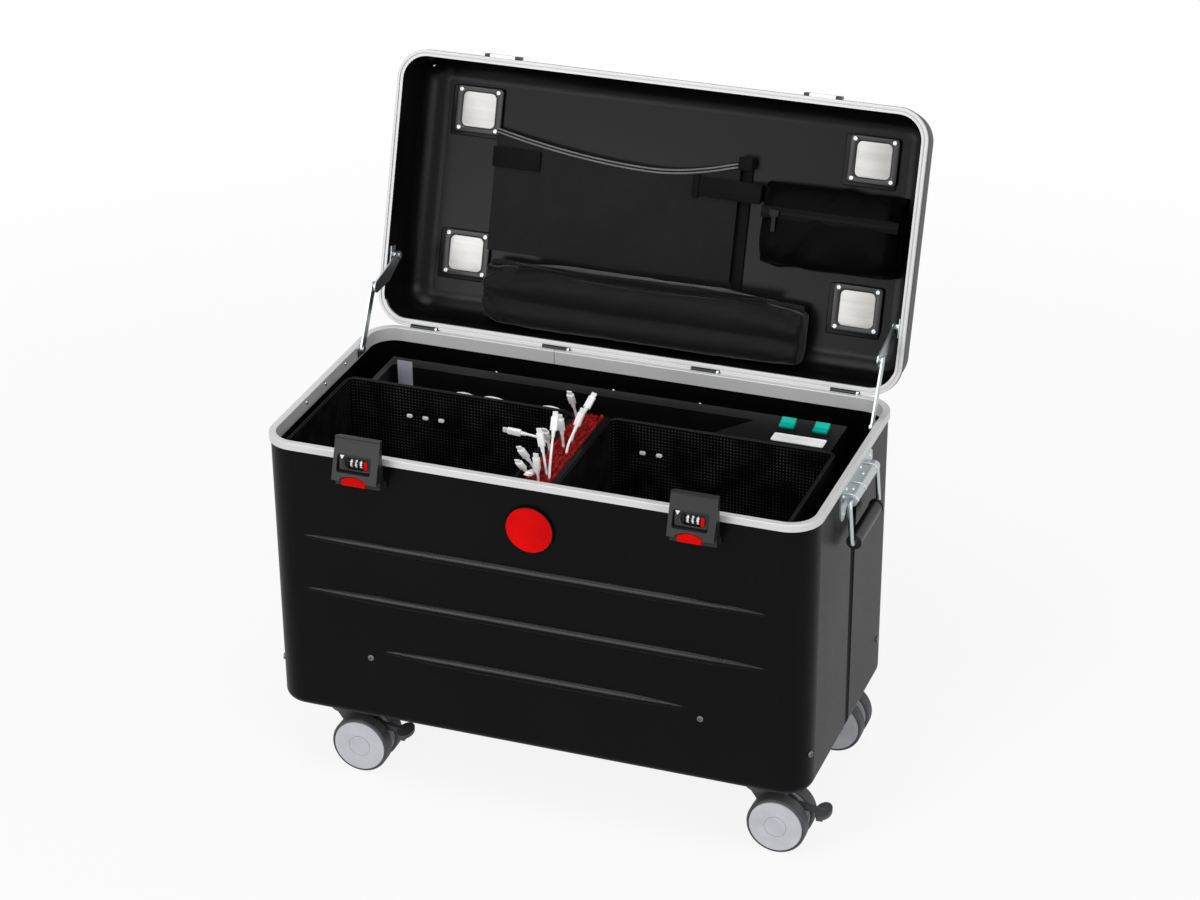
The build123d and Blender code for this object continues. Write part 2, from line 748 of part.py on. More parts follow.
def charging_housing():
    block = box(
        (HOUSING_LEFT, HOUSING_RIGHT), (HOUSING_FRONT, HOUSING_REAR), (FLOOR_Z, HOUSING_TOP)
    )
    block -= prism(trough_outline(), TROUGH_FLOOR, HOUSING_TOP + PAST)
    for x in rocker_places():
        half_x = ROCKER_LENGTH / 2 + ROCKER_GAP
        half_y = ROCKER_DEPTH / 2 + ROCKER_GAP
        block -= box(
            (x - half_x, x + half_x),
            (rocker_y() - half_y, rocker_y() + half_y),
            (HOUSING_TOP - ROCKER_WELL, HOUSING_TOP + PAST),
        )
    low, size = supply_bay()
    return block - box(*[(start, start + span) for start, span in zip(low, size)])


def power_supply():
    low, _ = supply_bay()
    x, y = low[0] + SEAT_GAP, low[1] + SEAT_GAP
    unit = box((x, x + SUPPLY_LENGTH), (y, y + SUPPLY_WIDTH), (low[2], low[2] + SUPPLY_HEIGHT))
    return fillet(unit.edges().filter_by(Axis.Z), SUPPLY_RADIUS)


def rocker_switch(x):
    """A dished rocker, tilted to its first position about an axle along X."""
    half = ROCKER_DEPTH / 2
    outline = make_face(
        Polyline(
            (-half, -ROCKER_ROOT),
            (half, -ROCKER_ROOT),
            (half, ROCKER_RISE),
            (0, ROCKER_RISE - ROCKER_DISH),
            (-half, ROCKER_RISE),
            close=True,
        ).edges()
    )
    cap = side_plate(outline, -ROCKER_LENGTH / 2, ROCKER_LENGTH)
    return Pos(x, rocker_y(), HOUSING_TOP) * Rot(ROCKER_TILT, 0, 0) * cap


def mains_inlet():
    """Shrouded three-pin inlet on the slanted end of the trough."""
    along = Vector(PANEL_SLANT, TROUGH_REAR - TROUGH_FRONT, 0)
    middle = Vector(TROUGH_RIGHT - PANEL_SLANT / 2, (TROUGH_FRONT + TROUGH_REAR) / 2, 0)
    normal = Vector(-along.Y, along.X, 0)
    origin = middle + Vector(0, 0, TROUGH_FLOOR + TROUGH_DEPTH / 2)
    face = Plane(origin=origin, x_dir=along, z_dir=normal)
    shroud = extrude(face * RectangleRounded(INLET_WIDTH, INLET_HEIGHT, INLET_LIP), amount=INLET_PROUD)
    well = RectangleRounded(INLET_WIDTH - 2 * INLET_LIP, INLET_HEIGHT - 2 * INLET_LIP, INLET_LIP / 2)
    shroud -= extrude(face.offset(INLET_LIP / 2) * well, amount=INLET_PROUD)
    pin = extrude(face * Circle(INLET_PIN), amount=INLET_PROUD)
    for step in (-1, 0, 1):
        shroud += Pos(*(along.normalized() * step * INLET_PIN_PITCH)) * pin
    return shroud


def pull_tab():
    x = TROUGH_LEFT + TAB_INSET
    top = HOUSING_TOP + TAB_RISE
    return box(
        (x, x + TAB_WIDTH), (TROUGH_REAR - TAB_THICKNESS, TROUGH_REAR), (top - TAB_HEIGHT, top)
    )


# Locks


def lock_pin_place():
    """Y and Z of the flap's hinge pin."""
    return FRONT_Y - LOCK_PIN_OUT, RIM_TOP - LOCK_PIN_DROP


def flap_rear():
    return FRONT_Y - FLAP_STANDOFF


def flap_front():
    return flap_rear() - FLAP_THICKNESS


def lock_base(x):
    """Base plate and lock block on the case, with two lugs that hold the flap's pin."""
    pin_y, pin_z = lock_pin_place()
    half = LOCK_WIDTH / 2
    lip_z = RIM_TOP - RIM_LIP_HEIGHT - LOCK_BASE_GAP
    plate_front = FRONT_Y - LOCK_BASE_PLATE / 2
    foot_z = pin_z - LOCK_KNUCKLE
    base = box((x - half, x + half), (front_wall(lip_z), plate_front), (foot_z, lip_z))
    inset = half - LOCK_BLOCK_INSET
    block_floor = pin_z + LOCK_KNUCKLE + PAST
    base += box(
        (x - inset, x + inset), (plate_front, flap_rear() + LOCK_BASE_GAP), (block_floor, lip_z)
    )
    near = LOCK_KNUCKLE_WIDTH / 2 + LOCK_BASE_GAP
    for side in (-1, 1):
        ends = (x + side * near, x + side * (near + LOCK_LUG_WIDTH))
        base += rod((ends[0], pin_y, pin_z), (ends[1], pin_y, pin_z), LOCK_KNUCKLE)
        base += box(ends, (plate_front, pin_y), (foot_z, pin_z + LOCK_KNUCKLE))
    reach = near + LOCK_LUG_WIDTH / 2
    return base + rod((x - reach, pin_y, pin_z), (x + reach, pin_y, pin_z), LOCK_PIN)


def dial_place():
    """Y and Z of the number dials' axle."""
    return flap_front() - DIAL_PROUD + DIAL_RADIUS, RIM_TOP - DIAL_DROP


def button_outline(grow):
    """Front view of the red button, with an arched top, grown all round for its pocket."""
    _, pin_z = lock_pin_place()
    half = BUTTON_WIDTH / 2 + grow
    low = pin_z + BUTTON_RISE - grow
    high = low + BUTTON_HEIGHT - BUTTON_CROWN + 2 * grow
    sides = Polyline((half, high), (half, low), (-half, low), (-half, high))
    crown = ThreePointArc((-half, high), (0, high + BUTTON_CROWN), (half, high))
    return make_face((sides + crown).edges())


def flap_wedge(x):
    """The flap's upper part: a front that leans out towards its foot, with a lip along the head."""
    _, pin_z = lock_pin_place()
    rear = flap_rear()
    half = LOCK_WIDTH / 2
    top = RIM_TOP + LOCK_RISE
    foot = pin_z + FLAP_FLOOR + FLAP_FOOT_RISE
    outline = make_face(
        Polyline(
            (rear, foot),
            (rear - FLAP_FOOT, foot),
            (rear - FLAP_HEAD, top - FLAP_LIP),
            (rear - FLAP_HEAD - FLAP_LIP, top - FLAP_LIP),
            (rear - FLAP_HEAD - FLAP_LIP, top),
            (rear, top),
            close=True,
        ).edges()
    )
    return side_plate(outline, x - half, LOCK_WIDTH)


def lock_flap(x):
    """Lever with a leaning front and hook nose, a dial window and a pocket for its button."""
    pin_y, pin_z = lock_pin_place()
    rear, front = flap_rear(), flap_front()
    half = LOCK_WIDTH / 2
    top = RIM_TOP + LOCK_RISE
    low = pin_z + FLAP_FLOOR
    flap = box((x - half, x + half), (front, rear), (low, low + FLAP_FOOT_RISE))
    flap = fillet(flap.edges().filter_by(Axis.Z).group_by(Axis.Y)[0], FLAP_EDGE)
    flap += flap_wedge(x)
    flap += box(
        (x - half + FLAP_EDGE, x + half - FLAP_EDGE),
        (rear, rear + FLAP_NOSE),
        (top - FLAP_NOSE_HEIGHT, top - FLAP_EDGE),
    )
    knuckle = LOCK_KNUCKLE_WIDTH / 2
    flap += rod((x - knuckle, pin_y, pin_z), (x + knuckle, pin_y, pin_z), LOCK_KNUCKLE)
    flap += box((x - knuckle, x + knuckle), (rear, pin_y), (low, pin_z + LOCK_KNUCKLE))
    flap -= rod(
        (x - half, pin_y, pin_z), (x + half, pin_y, pin_z), LOCK_PIN + RUNNING_FIT
    )
    window = RectangleRounded(WINDOW_WIDTH, WINDOW_HEIGHT, WINDOW_RADIUS)
    window = Pos(x + WINDOW_OFFSET, RIM_TOP - WINDOW_CENTRE_DROP) * window
    flap -= upright_plate(window, front + WINDOW_SHADE - FLAP_FOOT / 2, FLAP_FOOT)
    dial_y, dial_z = dial_place()
    well = DIAL_RADIUS + DIAL_GAP
    span = 3 * DIAL_PITCH / 2 + DIAL_GAP / 2
    flap -= box((x - span, x + span), (rear - FLAP_FOOT, rear + PAST), (dial_z - well, dial_z + well))
    flap += rod((x - span, dial_y, dial_z), (x + span, dial_y, dial_z), DIAL_AXLE)
    middle = Pos(x + BUTTON_OFFSET, 0)
    depth = BUTTON_LENGTH - BUTTON_PROUD + BUTTON_TRAVEL + BUTTON_GAP
    flap -= upright_plate(middle * button_outline(BUTTON_GAP), front, 2 * depth)
    return flap - upright_plate(middle * button_outline(FLAP_ARCH), front - FLAP_FOOT / 2, FLAP_FOOT)


def lock_button(x):
    y = flap_front() - BUTTON_PROUD + BUTTON_LENGTH / 2
    button = upright_plate(Pos(x + BUTTON_OFFSET, 0) * button_outline(0), y, BUTTON_LENGTH)
    return fillet(button.edges().group_by(Axis.Y)[0], FLAP_EDGE / 2)


def number_dial(x, step):
    """A small drum with a finger notch between its places."""
    y, z = dial_place()
    centre = x + step * DIAL_PITCH
    half = DIAL_WIDTH / 2
    drum = rod((centre - half, y, z), (centre + half, y, z), DIAL_RADIUS)
    drum -= rod((centre - half, y, z), (centre + half, y, z), DIAL_AXLE + RUNNING_FIT)
    for mark in range(DIAL_MARKS):
        turn = radians(360 / DIAL_MARKS * (mark + 0.5))
        notch_y = y + DIAL_RADIUS * cos(turn)
        notch_z = z + DIAL_RADIUS * sin(turn)
        drum -= rod((centre - half, notch_y, notch_z), (centre + half, notch_y, notch_z), DIAL_NOTCH)
    return drum


def lid_catch(x):
    """Keeper on the lid's front edge, drawn with the lid shut."""
    z = LID_MATING_Z + CATCH_RISE
    plate = box(
        (x - CATCH_WIDTH / 2, x + CATCH_WIDTH / 2),
        (FRONT_Y - CATCH_PROUD, FRONT_Y),
        (z, z + CATCH_HEIGHT),
    )
    return open_lid(fillet(plate.edges().group_by(Axis.Y)[0], RIM_ROUNDING))


# Bail handles


def barrel_place(side):
    """X and Z of the bail's pivot."""
    return side * (CASE_WIDTH / 2 + BARREL_OUT), RIM_TOP - BARREL_DROP


def handle_bracket(side):
    """Riveted plate with rounded ears and a rolled barrel for the bail."""
    x, z = barrel_place(side)
    top = RIM_TOP - BRACKET_DROP
    low = top - BRACKET_HEIGHT
    back = side * (CASE_WIDTH / 2 - wall_inset(top))
    ear_y = BRACKET_LENGTH / 2 - BRACKET_EAR
    outline = Pos(0, (top + low) / 2 + BRACKET_EAR / 2) * Rectangle(
        2 * ear_y, BRACKET_HEIGHT - BRACKET_EAR
    )
    ear = SlotOverall(BRACKET_HEIGHT, 2 * BRACKET_EAR, rotation=90)
    for end in (-1, 1):
        outline += Pos(end * ear_y, (top + low) / 2) * ear
    plate = side_plate(outline, min(back, back + side * BRACKET_PLATE), BRACKET_PLATE)
    half = BARREL_LENGTH / 2
    plate += rod((x, -half, z), (x, half, z), BARREL_RADIUS)
    plate += box((back, x), (-half, half), (z, z + BARREL_RADIUS))
    return plate - rod((x, -half, z), (x, half, z), BAIL_RADIUS + RUNNING_FIT)


def bail_points(side):
    """Corner points of the bent rod, from one hooked end to the other."""
    x, z = barrel_place(side)
    half = BAIL_SPAN / 2
    low = (x + side * BAIL_LEAN, z - BAIL_ARM)
    return [
        (x, -half + BAIL_HOOK, z),
        (x, -half, z),
        (low[0], -half, low[1]),
        (low[0], half, low[1]),
        (x, half, z),
        (x, half - BAIL_HOOK, z),
    ]


def handle_bail(side):
    points = bail_points(side)
    line = FilletPolyline(*points, radius=BAIL_BEND)
    return sweep(Plane(origin=points[0], z_dir=(0, -1, 0)) * Circle(BAIL_RADIUS), path=line)


def handle_grip(side):
    """Black tube on the bail with a flange at each end."""
    x, _, z = bail_points(side)[2]
    half = GRIP_LENGTH / 2
    grip = rod((x, -half, z), (x, half, z), GRIP_RADIUS)
    for end in (-1, 1):
        inner = end * (half - GRIP_FLANGE_WIDTH)
        grip += rod((x, inner, z), (x, end * half, z), GRIP_FLANGE)
    return grip - rod((x, -half, z), (x, half, z), BAIL_RADIUS + RUNNING_FIT)


# Casters


def caster_plate(x, y):
    """Mounting plate and bearing boss under the case, with the king pin."""
    low = CASE_BOTTOM - PLATE_THICKNESS
    outline = Pos(x, y) * RectangleRounded(PLATE_LENGTH, PLATE_WIDTH, PLATE_THICKNESS)
    boss = rod((x, y, FORK_HEAD_TOP + SEAT_GAP), (x, y, low), BEARING_RADIUS)
    pin = rod((x, y, low - KING_PIN_LENGTH), (x, y, low), KING_PIN_RADIUS)
    return prism(outline, low, CASE_BOTTOM) + boss + pin


def fork_outline():
    """Side view of the fork's web, about the swivel axis."""
    neck = Pos(0, FORK_HEAD_TOP - FORK_HEAD_HEIGHT) * Circle(FORK_NECK_RADIUS)
    hub = Pos(CASTER_TRAIL, WHEEL_RADIUS) * Circle(FORK_HUB_RADIUS)
    ear = Pos(*pedal_pivot()) * Circle(FORK_EAR_RADIUS)
    return make_hull((neck + hub + ear).edges())


def pedal_pivot():
    """X and Z of the brake pedal's pin, about the swivel axis."""
    return CASTER_TRAIL + PEDAL_PIVOT_AHEAD, WHEEL_RADIUS + PEDAL_PIVOT_UP


def caster_fork(x, y, braked):
    """Web between the wheels with its swivel head, axle and, with a brake, a slotted ear."""
    fork = upright_plate(fork_outline(), 0, FORK_WIDTH)
    head = rod((0, 0, FORK_HEAD_TOP - FORK_HEAD_HEIGHT), (0, 0, FORK_HEAD_TOP), FORK_HEAD_RADIUS)
    fork += fillet(head.edges().group_by(Axis.Z)[-1], FORK_HEAD_HEIGHT / 3)
    fork -= box(
        (-2 * FORK_HEAD_RADIUS, 2 * FORK_HEAD_RADIUS),
        (-FORK_WIDTH, FORK_WIDTH),
        (FORK_HEAD_TOP, FORK_HEAD_TOP + FORK_NECK_RADIUS),
    )
    pin_foot = CASE_BOTTOM - PLATE_THICKNESS - KING_PIN_LENGTH
    fork -= rod((0, 0, pin_foot - PAST), (0, 0, FORK_HEAD_TOP), KING_PIN_RADIUS + RUNNING_FIT)
    half = FORK_WIDTH / 2 + WHEEL_SIDE_GAP + AXLE_DEPTH
    fork += rod((CASTER_TRAIL, -half, WHEEL_RADIUS), (CASTER_TRAIL, half, WHEEL_RADIUS), AXLE_RADIUS)
    if braked:
        px, pz = pedal_pivot()
        room = PEDAL_KNUCKLE + ROCKER_GAP
        slot = PEDAL_ARM / 2 + SEAT_GAP
        fork -= box(
            (px - room, px + 2 * FORK_EAR_RADIUS), (-slot, slot), (pz - 2 * room, pz + 2 * room)
        )
        fork += rod((px, -FORK_WIDTH / 2, pz), (px, FORK_WIDTH / 2, pz), PEDAL_PIN)
    return Pos(x, y, 0) * fork


def wheel(x, y, side):
    """One wheel of a pair, with a groove round its grey disc and another round its cap."""
    inner = side * (FORK_WIDTH / 2 + WHEEL_SIDE_GAP)
    outer = inner + side * WHEEL_WIDTH
    drum = rod((0, inner, 0), (0, outer, 0), WHEEL_RADIUS)
    drum = fillet(drum.edges().filter_by(GeomType.CIRCLE), WHEEL_ROUNDING)
    drum -= rod((0, inner, 0), (0, inner + side * (AXLE_DEPTH + SEAT_GAP), 0), AXLE_RADIUS + RUNNING_FIT)
    for radius, depth in ((WHEEL_DISC_RADIUS, WHEEL_DISC_GROOVE), (WHEEL_CAP_RADIUS, WHEEL_CAP_GROOVE)):
        floor = outer - side * depth
        drum -= rod((0, floor, 0), (0, outer, 0), radius + depth) - rod((0, floor, 0), (0, outer, 0), radius)
    return Pos(x + CASTER_TRAIL, y, WHEEL_RADIUS) * drum


def wheel_pair(x, y):
    return group([wheel(x, y, -1), wheel(x, y, 1)])


def brake_pedal(x, y):
    """Arm in the fork's ear, an oval paddle and the toe below it."""
    px, pz = pedal_pivot()
    centre = px + PEDAL_REACH
    z = pz - PEDAL_DROP
    arm = make_hull(
        (Circle(PEDAL_KNUCKLE) + Pos(PEDAL_REACH, -PEDAL_DROP) * Circle(PEDAL_THICKNESS / 2)).edges()
    )
    pedal = Pos(px, 0, pz) * upright_plate(arm, 0, PEDAL_ARM)
    paddle = Pos(centre, 0) * Ellipse(PEDAL_LENGTH / 2, PEDAL_WIDTH / 2)
    pedal += prism(paddle, z - PEDAL_THICKNESS / 2, z + PEDAL_THICKNESS / 2)
    pedal += box(
        (centre - PEDAL_TOE_LENGTH, centre),
        (-PEDAL_ARM, PEDAL_ARM),
        (z - PEDAL_TOE_HEIGHT, z),
    )
    pedal -= rod((px, -PEDAL_ARM, pz), (px, PEDAL_ARM, pz), PEDAL_PIN + RUNNING_FIT)
    return Pos(x, y, 0) * pedal


# Hinges


def hinge_places():
    outer = CASE_WIDTH / 2 - HINGE_END_GAP
    inner = outer - HINGE_PITCH
    return [-outer, -inner, inner, outer]


def knuckle(low, high, bore):
    """A length of hinge barrel, bored through when bore is over nothing."""
    barrel = rod((low, HINGE_Y, HINGE_Z), (high, HINGE_Y, HINGE_Z), HINGE_KNUCKLE)
    if bore > 0:
        barrel -= rod((low, HINGE_Y, HINGE_Z), (high, HINGE_Y, HINGE_Z), bore)
    return barrel


def hinge_case_leaf(x):
    """Leaf on the case with two outer knuckles and the pin across them."""
    half, middle = HINGE_LENGTH / 2, HINGE_MIDDLE / 2 + SEAT_GAP
    leaf = box(
        (x - half, x + half),
        (HINGE_Y, HINGE_Y + HINGE_LEAF),
        (HINGE_Z - HINGE_KNUCKLE - HINGE_LEAF_HEIGHT, HINGE_Z - HINGE_KNUCKLE - HINGE_SLOT_GAP),
    )
    for low, high in ((x - half, x - middle), (x + middle, x + half)):
        leaf += knuckle(low, high, 0)
        leaf += box((low, high), (HINGE_Y, HINGE_Y + HINGE_LEAF), (HINGE_Z - 2 * HINGE_KNUCKLE, HINGE_Z))
    return leaf + rod((x - half, HINGE_Y, HINGE_Z), (x + half, HINGE_Y, HINGE_Z), HINGE_PIN)


def hinge_lid_leaf(x):
    """Leaf on the lid with the middle knuckle, drawn with the lid shut."""
    half, middle = HINGE_LENGTH / 2, HINGE_MIDDLE / 2
    low = HINGE_Z + HINGE_KNUCKLE + HINGE_SLOT_GAP
    leaf = box((x - half, x + half), (HINGE_Y, HINGE_Y + HINGE_LEAF), (low, low + HINGE_LEAF_HEIGHT))
    neck = box(
        (x - middle, x + middle), (HINGE_Y, HINGE_Y + HINGE_LEAF), (HINGE_Z, HINGE_Z + 2 * HINGE_KNUCKLE)
    )
    bore = HINGE_PIN + RUNNING_FIT
    leaf += neck + knuckle(x - middle, x + middle, 0)
    leaf -= rod((x - half, HINGE_Y, HINGE_Z), (x + half, HINGE_Y, HINGE_Z), bore)
    return open_lid(leaf)


# Lid stays


def stay_points():
    """Y and Z of the case pivot, the elbow and the lid pivot with the lid open."""
    tilt = radians(LID_ANGLE)
    along = (-cos(tilt), sin(tilt))
    inward = (sin(tilt), cos(tilt))
    lid = [
        axis + STAY_LID_REACH * a + STAY_LID_DEPTH * b
        for axis, a, b in zip((HINGE_Y, HINGE_Z), along, inward)
    ]
    case = (HINGE_Y - STAY_CASE_REACH, RIM_TOP - STAY_CASE_DROP)
    elbow = (HINGE_Y - STAY_ELBOW_REACH, RIM_TOP + STAY_ELBOW_RISE)
    return case, elbow, tuple(lid)


def stay_levels():
    """Distances from the middle of the case to the faces of the stay's layers."""
    bracket = INNER_X - STAY_PLATE
    lower_out = bracket - STAY_GAP
    lower_in = lower_out - STAY_PLATE
    upper_out = lower_in - 2 * STAY_STUB_HEIGHT - STAY_GAP
    return bracket, lower_out, lower_in, upper_out, upper_out - STAY_PLATE


def cross_rod(side, start, end, place, radius):
    """A pin along X at a Y and Z place, between two distances from the middle."""
    y, z = place
    return rod((side * start, y, z), (side * end, y, z), radius)


def link_plate(sketch, side, inner):
    return side_plate(sketch, min(side * inner, side * (inner + STAY_PLATE)), STAY_PLATE)


def stay_lower(side):
    """Slim link from the case to the elbow, with half of the elbow's rivet."""
    case, elbow, _ = stay_points()
    _, lower_out, lower_in, _, _ = stay_levels()
    ends = Pos(*case) * Circle(STAY_END) + Pos(*elbow) * Circle(STAY_END)
    plate = make_hull(ends.edges()) - Pos(*case) * Circle(STAY_PIN + RUNNING_FIT)
    link = link_plate(plate, side, lower_in)
    link += cross_rod(side, lower_in, lower_in - STAY_STUB_HEIGHT, elbow, STAY_STUB)
    return link + cross_rod(side, lower_out, lower_out + STAY_GAP, elbow, STAY_STUB)


def stay_upper(side):
    """Wide sickle link from the lid to the elbow, with the other half of the rivet."""
    _, elbow, lid = stay_points()
    _, _, _, upper_out, upper_in = stay_levels()
    way = Vector(elbow[0] - lid[0], elbow[1] - lid[1])
    belly = Vector(*lid) + way / 2 + Vector(-way.Y, way.X).normalized() * STAY_BULGE
    rounds = Pos(*lid) * Circle(STAY_END) + Pos(*elbow) * Circle(STAY_SICKLE)
    rounds += Pos(belly.X, belly.Y) * Circle(STAY_END)
    plate = make_hull(rounds.edges()) - Pos(*lid) * Circle(STAY_PIN + RUNNING_FIT)
    link = link_plate(plate, side, upper_in)
    return link + cross_rod(side, upper_out, upper_out + STAY_STUB_HEIGHT, elbow, STAY_STUB)


def stay_case_bracket(side):
    """Plate on the rim's inner wall with the lower link's pin."""
    case, _, _ = stay_points()
    bracket, lower_out, lower_in, _, _ = stay_levels()
    y, _ = case
    top = RIM_TOP - RIM_ROUNDING
    plate = box(
        (side * bracket, side * INNER_X),
        (y - STAY_BRACKET_LENGTH / 2, y + STAY_BRACKET_LENGTH / 2),
        (top - STAY_BRACKET_HEIGHT, top),
    )
    plate += cross_rod(side, bracket, lower_in - STAY_GAP, case, STAY_PIN)
    head_start = lower_in - STAY_GAP / 2
    return plate + cross_rod(side, head_start, head_start - STAY_HEAD_HEIGHT, case, STAY_HEAD)


def stay_lid_bracket(side):
    """Plate on the lid rim's inner wall with a spacer and the upper link's pin."""
    bracket, _, _, upper_out, upper_in = stay_levels()
    place = (HINGE_Y - STAY_LID_REACH, HINGE_Z + STAY_LID_DEPTH)
    high = LID_MATING_Z + RIM_INNER_HEIGHT
    plate = box(
        (side * bracket, side * INNER_X),
        (place[0] - STAY_BRACKET_LENGTH / 2, place[0] + STAY_BRACKET_LENGTH / 2),
        (high - STAY_BRACKET_HEIGHT, high),
    )
    plate += cross_rod(side, bracket, upper_out + STAY_GAP / 2, place, STAY_HEAD)
    plate += cross_rod(side, upper_out + STAY_GAP, upper_in - STAY_GAP, place, STAY_PIN)
    head_start = upper_in - STAY_GAP / 2
    plate += cross_rod(side, head_start, head_start - STAY_HEAD_HEIGHT, place, STAY_HEAD)
    return open_lid(plate)


# Lid


def lid_form(inset):
    """The lid's drafted block with a rounded crown, drawn with the lid shut."""
    low_z = LID_MATING_Z + RIM_WEB
    high_z = LID_MATING_Z + LID_DEPTH - inset
    low = Plane.XY.offset(low_z) * case_plan(RIM_LIP + inset)
    radius = CORNER_RADIUS - RIM_LIP - inset
    shrink = RIM_LIP + LID_DRAFT + inset
    crown = RectangleRounded(CASE_WIDTH - 2 * shrink, CASE_DEPTH - 2 * shrink, radius)
    high = Plane.XY.offset(high_z) * crown
    form = loft([low.face(), high.face()], ruled=True)
    return fillet(form.edges().group_by(Axis.Z)[-1], LID_EDGE_RADIUS - inset)


def lid_shell():
    return open_lid(lid_form(0) - lid_form(SHELL_WALL))


def pad_places():
    """Middle of each corner pad in X and Y, with the lid shut."""
    x = CASE_WIDTH / 2 - PAD_END_GAP - PAD_LENGTH / 2
    rear = HINGE_Y - PAD_REAR_GAP - PAD_WIDTH / 2
    front = FRONT_Y + PAD_FRONT_GAP + PAD_WIDTH / 2
    return [(side * x, y) for side in (-1, 1) for y in (rear, front)]


def pad_frame(x, y):
    """Bevelled frame on the lid's ceiling with a seat for its metal plate."""
    low = LID_FLOOR_Z - PAD_HEIGHT
    frame = prism(Pos(x, y) * RectangleRounded(PAD_LENGTH, PAD_WIDTH, PAD_CORNER), low, LID_FLOOR_Z)
    frame = chamfer(frame.edges().group_by(Axis.Z)[0], PAD_BEVEL)
    seat = RectangleRounded(
        PAD_PLATE_LENGTH + 2 * SEAT_GAP, PAD_PLATE_WIDTH + 2 * SEAT_GAP, PAD_PLATE_CORNER + SEAT_GAP
    )
    return open_lid(frame - prism(Pos(x, y) * seat, low - PAST, low + PAD_PLATE_SINK))


def pad_plate(x, y):
    low = LID_FLOOR_Z - PAD_HEIGHT
    plate = Pos(x, y) * RectangleRounded(PAD_PLATE_LENGTH, PAD_PLATE_WIDTH, PAD_PLATE_CORNER)
    return open_lid(prism(plate, low - PAD_PLATE_PROUD, low + PAD_PLATE_SINK))


def document_pocket():
    """Flat panel on the lid's ceiling with a sagging upper edge."""
    left_top = (POCKET_LEFT, HINGE_Y - POCKET_LEFT_TOP)
    right_top = (POCKET_RIGHT, HINGE_Y - POCKET_RIGHT_TOP)
    foot_y = HINGE_Y - POCKET_FOOT
    low = (POCKET_LEFT + POCKET_SAG_INSET, HINGE_Y - POCKET_SAG_TOP)
    sag = ThreePointArc(left_top, low, right_top)
    rest = Polyline(right_top, (POCKET_RIGHT, foot_y), (POCKET_LEFT, foot_y), left_top)
    panel = make_face((sag + rest).edges())
    return open_lid(prism(panel, LID_FLOOR_Z - POCKET_THICKNESS, LID_FLOOR_Z - SOFT_GAP))


def zip_pouch():
    pouch = box(
        (POUCH_LEFT, POUCH_RIGHT),
        (HINGE_Y - POUCH_TOP, HINGE_Y - POUCH_FOOT),
        (LID_FLOOR_Z - POUCH_THICKNESS, LID_FLOOR_Z - SOFT_GAP),
    )
    return open_lid(fillet(pouch.edges(), POUCH_ROUNDING))


def cable_bag():
    """Long soft roll along the hinge side of the lid."""
    width, height = BAG_TOP - BAG_FOOT, BAG_THICKNESS
    middle_y = HINGE_Y - (BAG_TOP + BAG_FOOT) / 2
    middle_z = LID_FLOOR_Z - SOFT_GAP - BAG_THICKNESS / 2
    outline = Pos(middle_y, middle_z) * RectangleRounded(width, height, BAG_ROUNDING)
    roll = side_plate(outline, BAG_LEFT, BAG_RIGHT - BAG_LEFT)
    ends = roll.edges().group_by(Axis.X)
    return open_lid(fillet(ends[0] + ends[-1], BAG_END_ROUNDING))


def zip_slider():
    """Slider body with its hanging pull, in front of the pouch."""
    front = LID_FLOOR_Z - POUCH_THICKNESS - SOFT_GAP
    x = POUCH_LEFT + SLIDER_START
    y = HINGE_Y - ZIP_HEIGHT
    body = box(
        (x - SLIDER_LENGTH / 2, x + SLIDER_LENGTH / 2),
        (y - SLIDER_WIDTH / 2, y + SLIDER_WIDTH / 2),
        (front - SLIDER_THICKNESS, front),
    )
    body = fillet(body.edges().filter_by(Axis.Z), SLIDER_THICKNESS / 2)
    pull = box(
        (x - PULL_WIDTH / 2, x + PULL_WIDTH / 2),
        (y, y + PULL_LENGTH),
        (front - SLIDER_THICKNESS / 2 - PULL_THICKNESS, front - SLIDER_THICKNESS / 2),
    )
    return open_lid(body + fillet(pull.edges().filter_by(Axis.Z), PULL_THICKNESS))


# Every piece under the name of its node


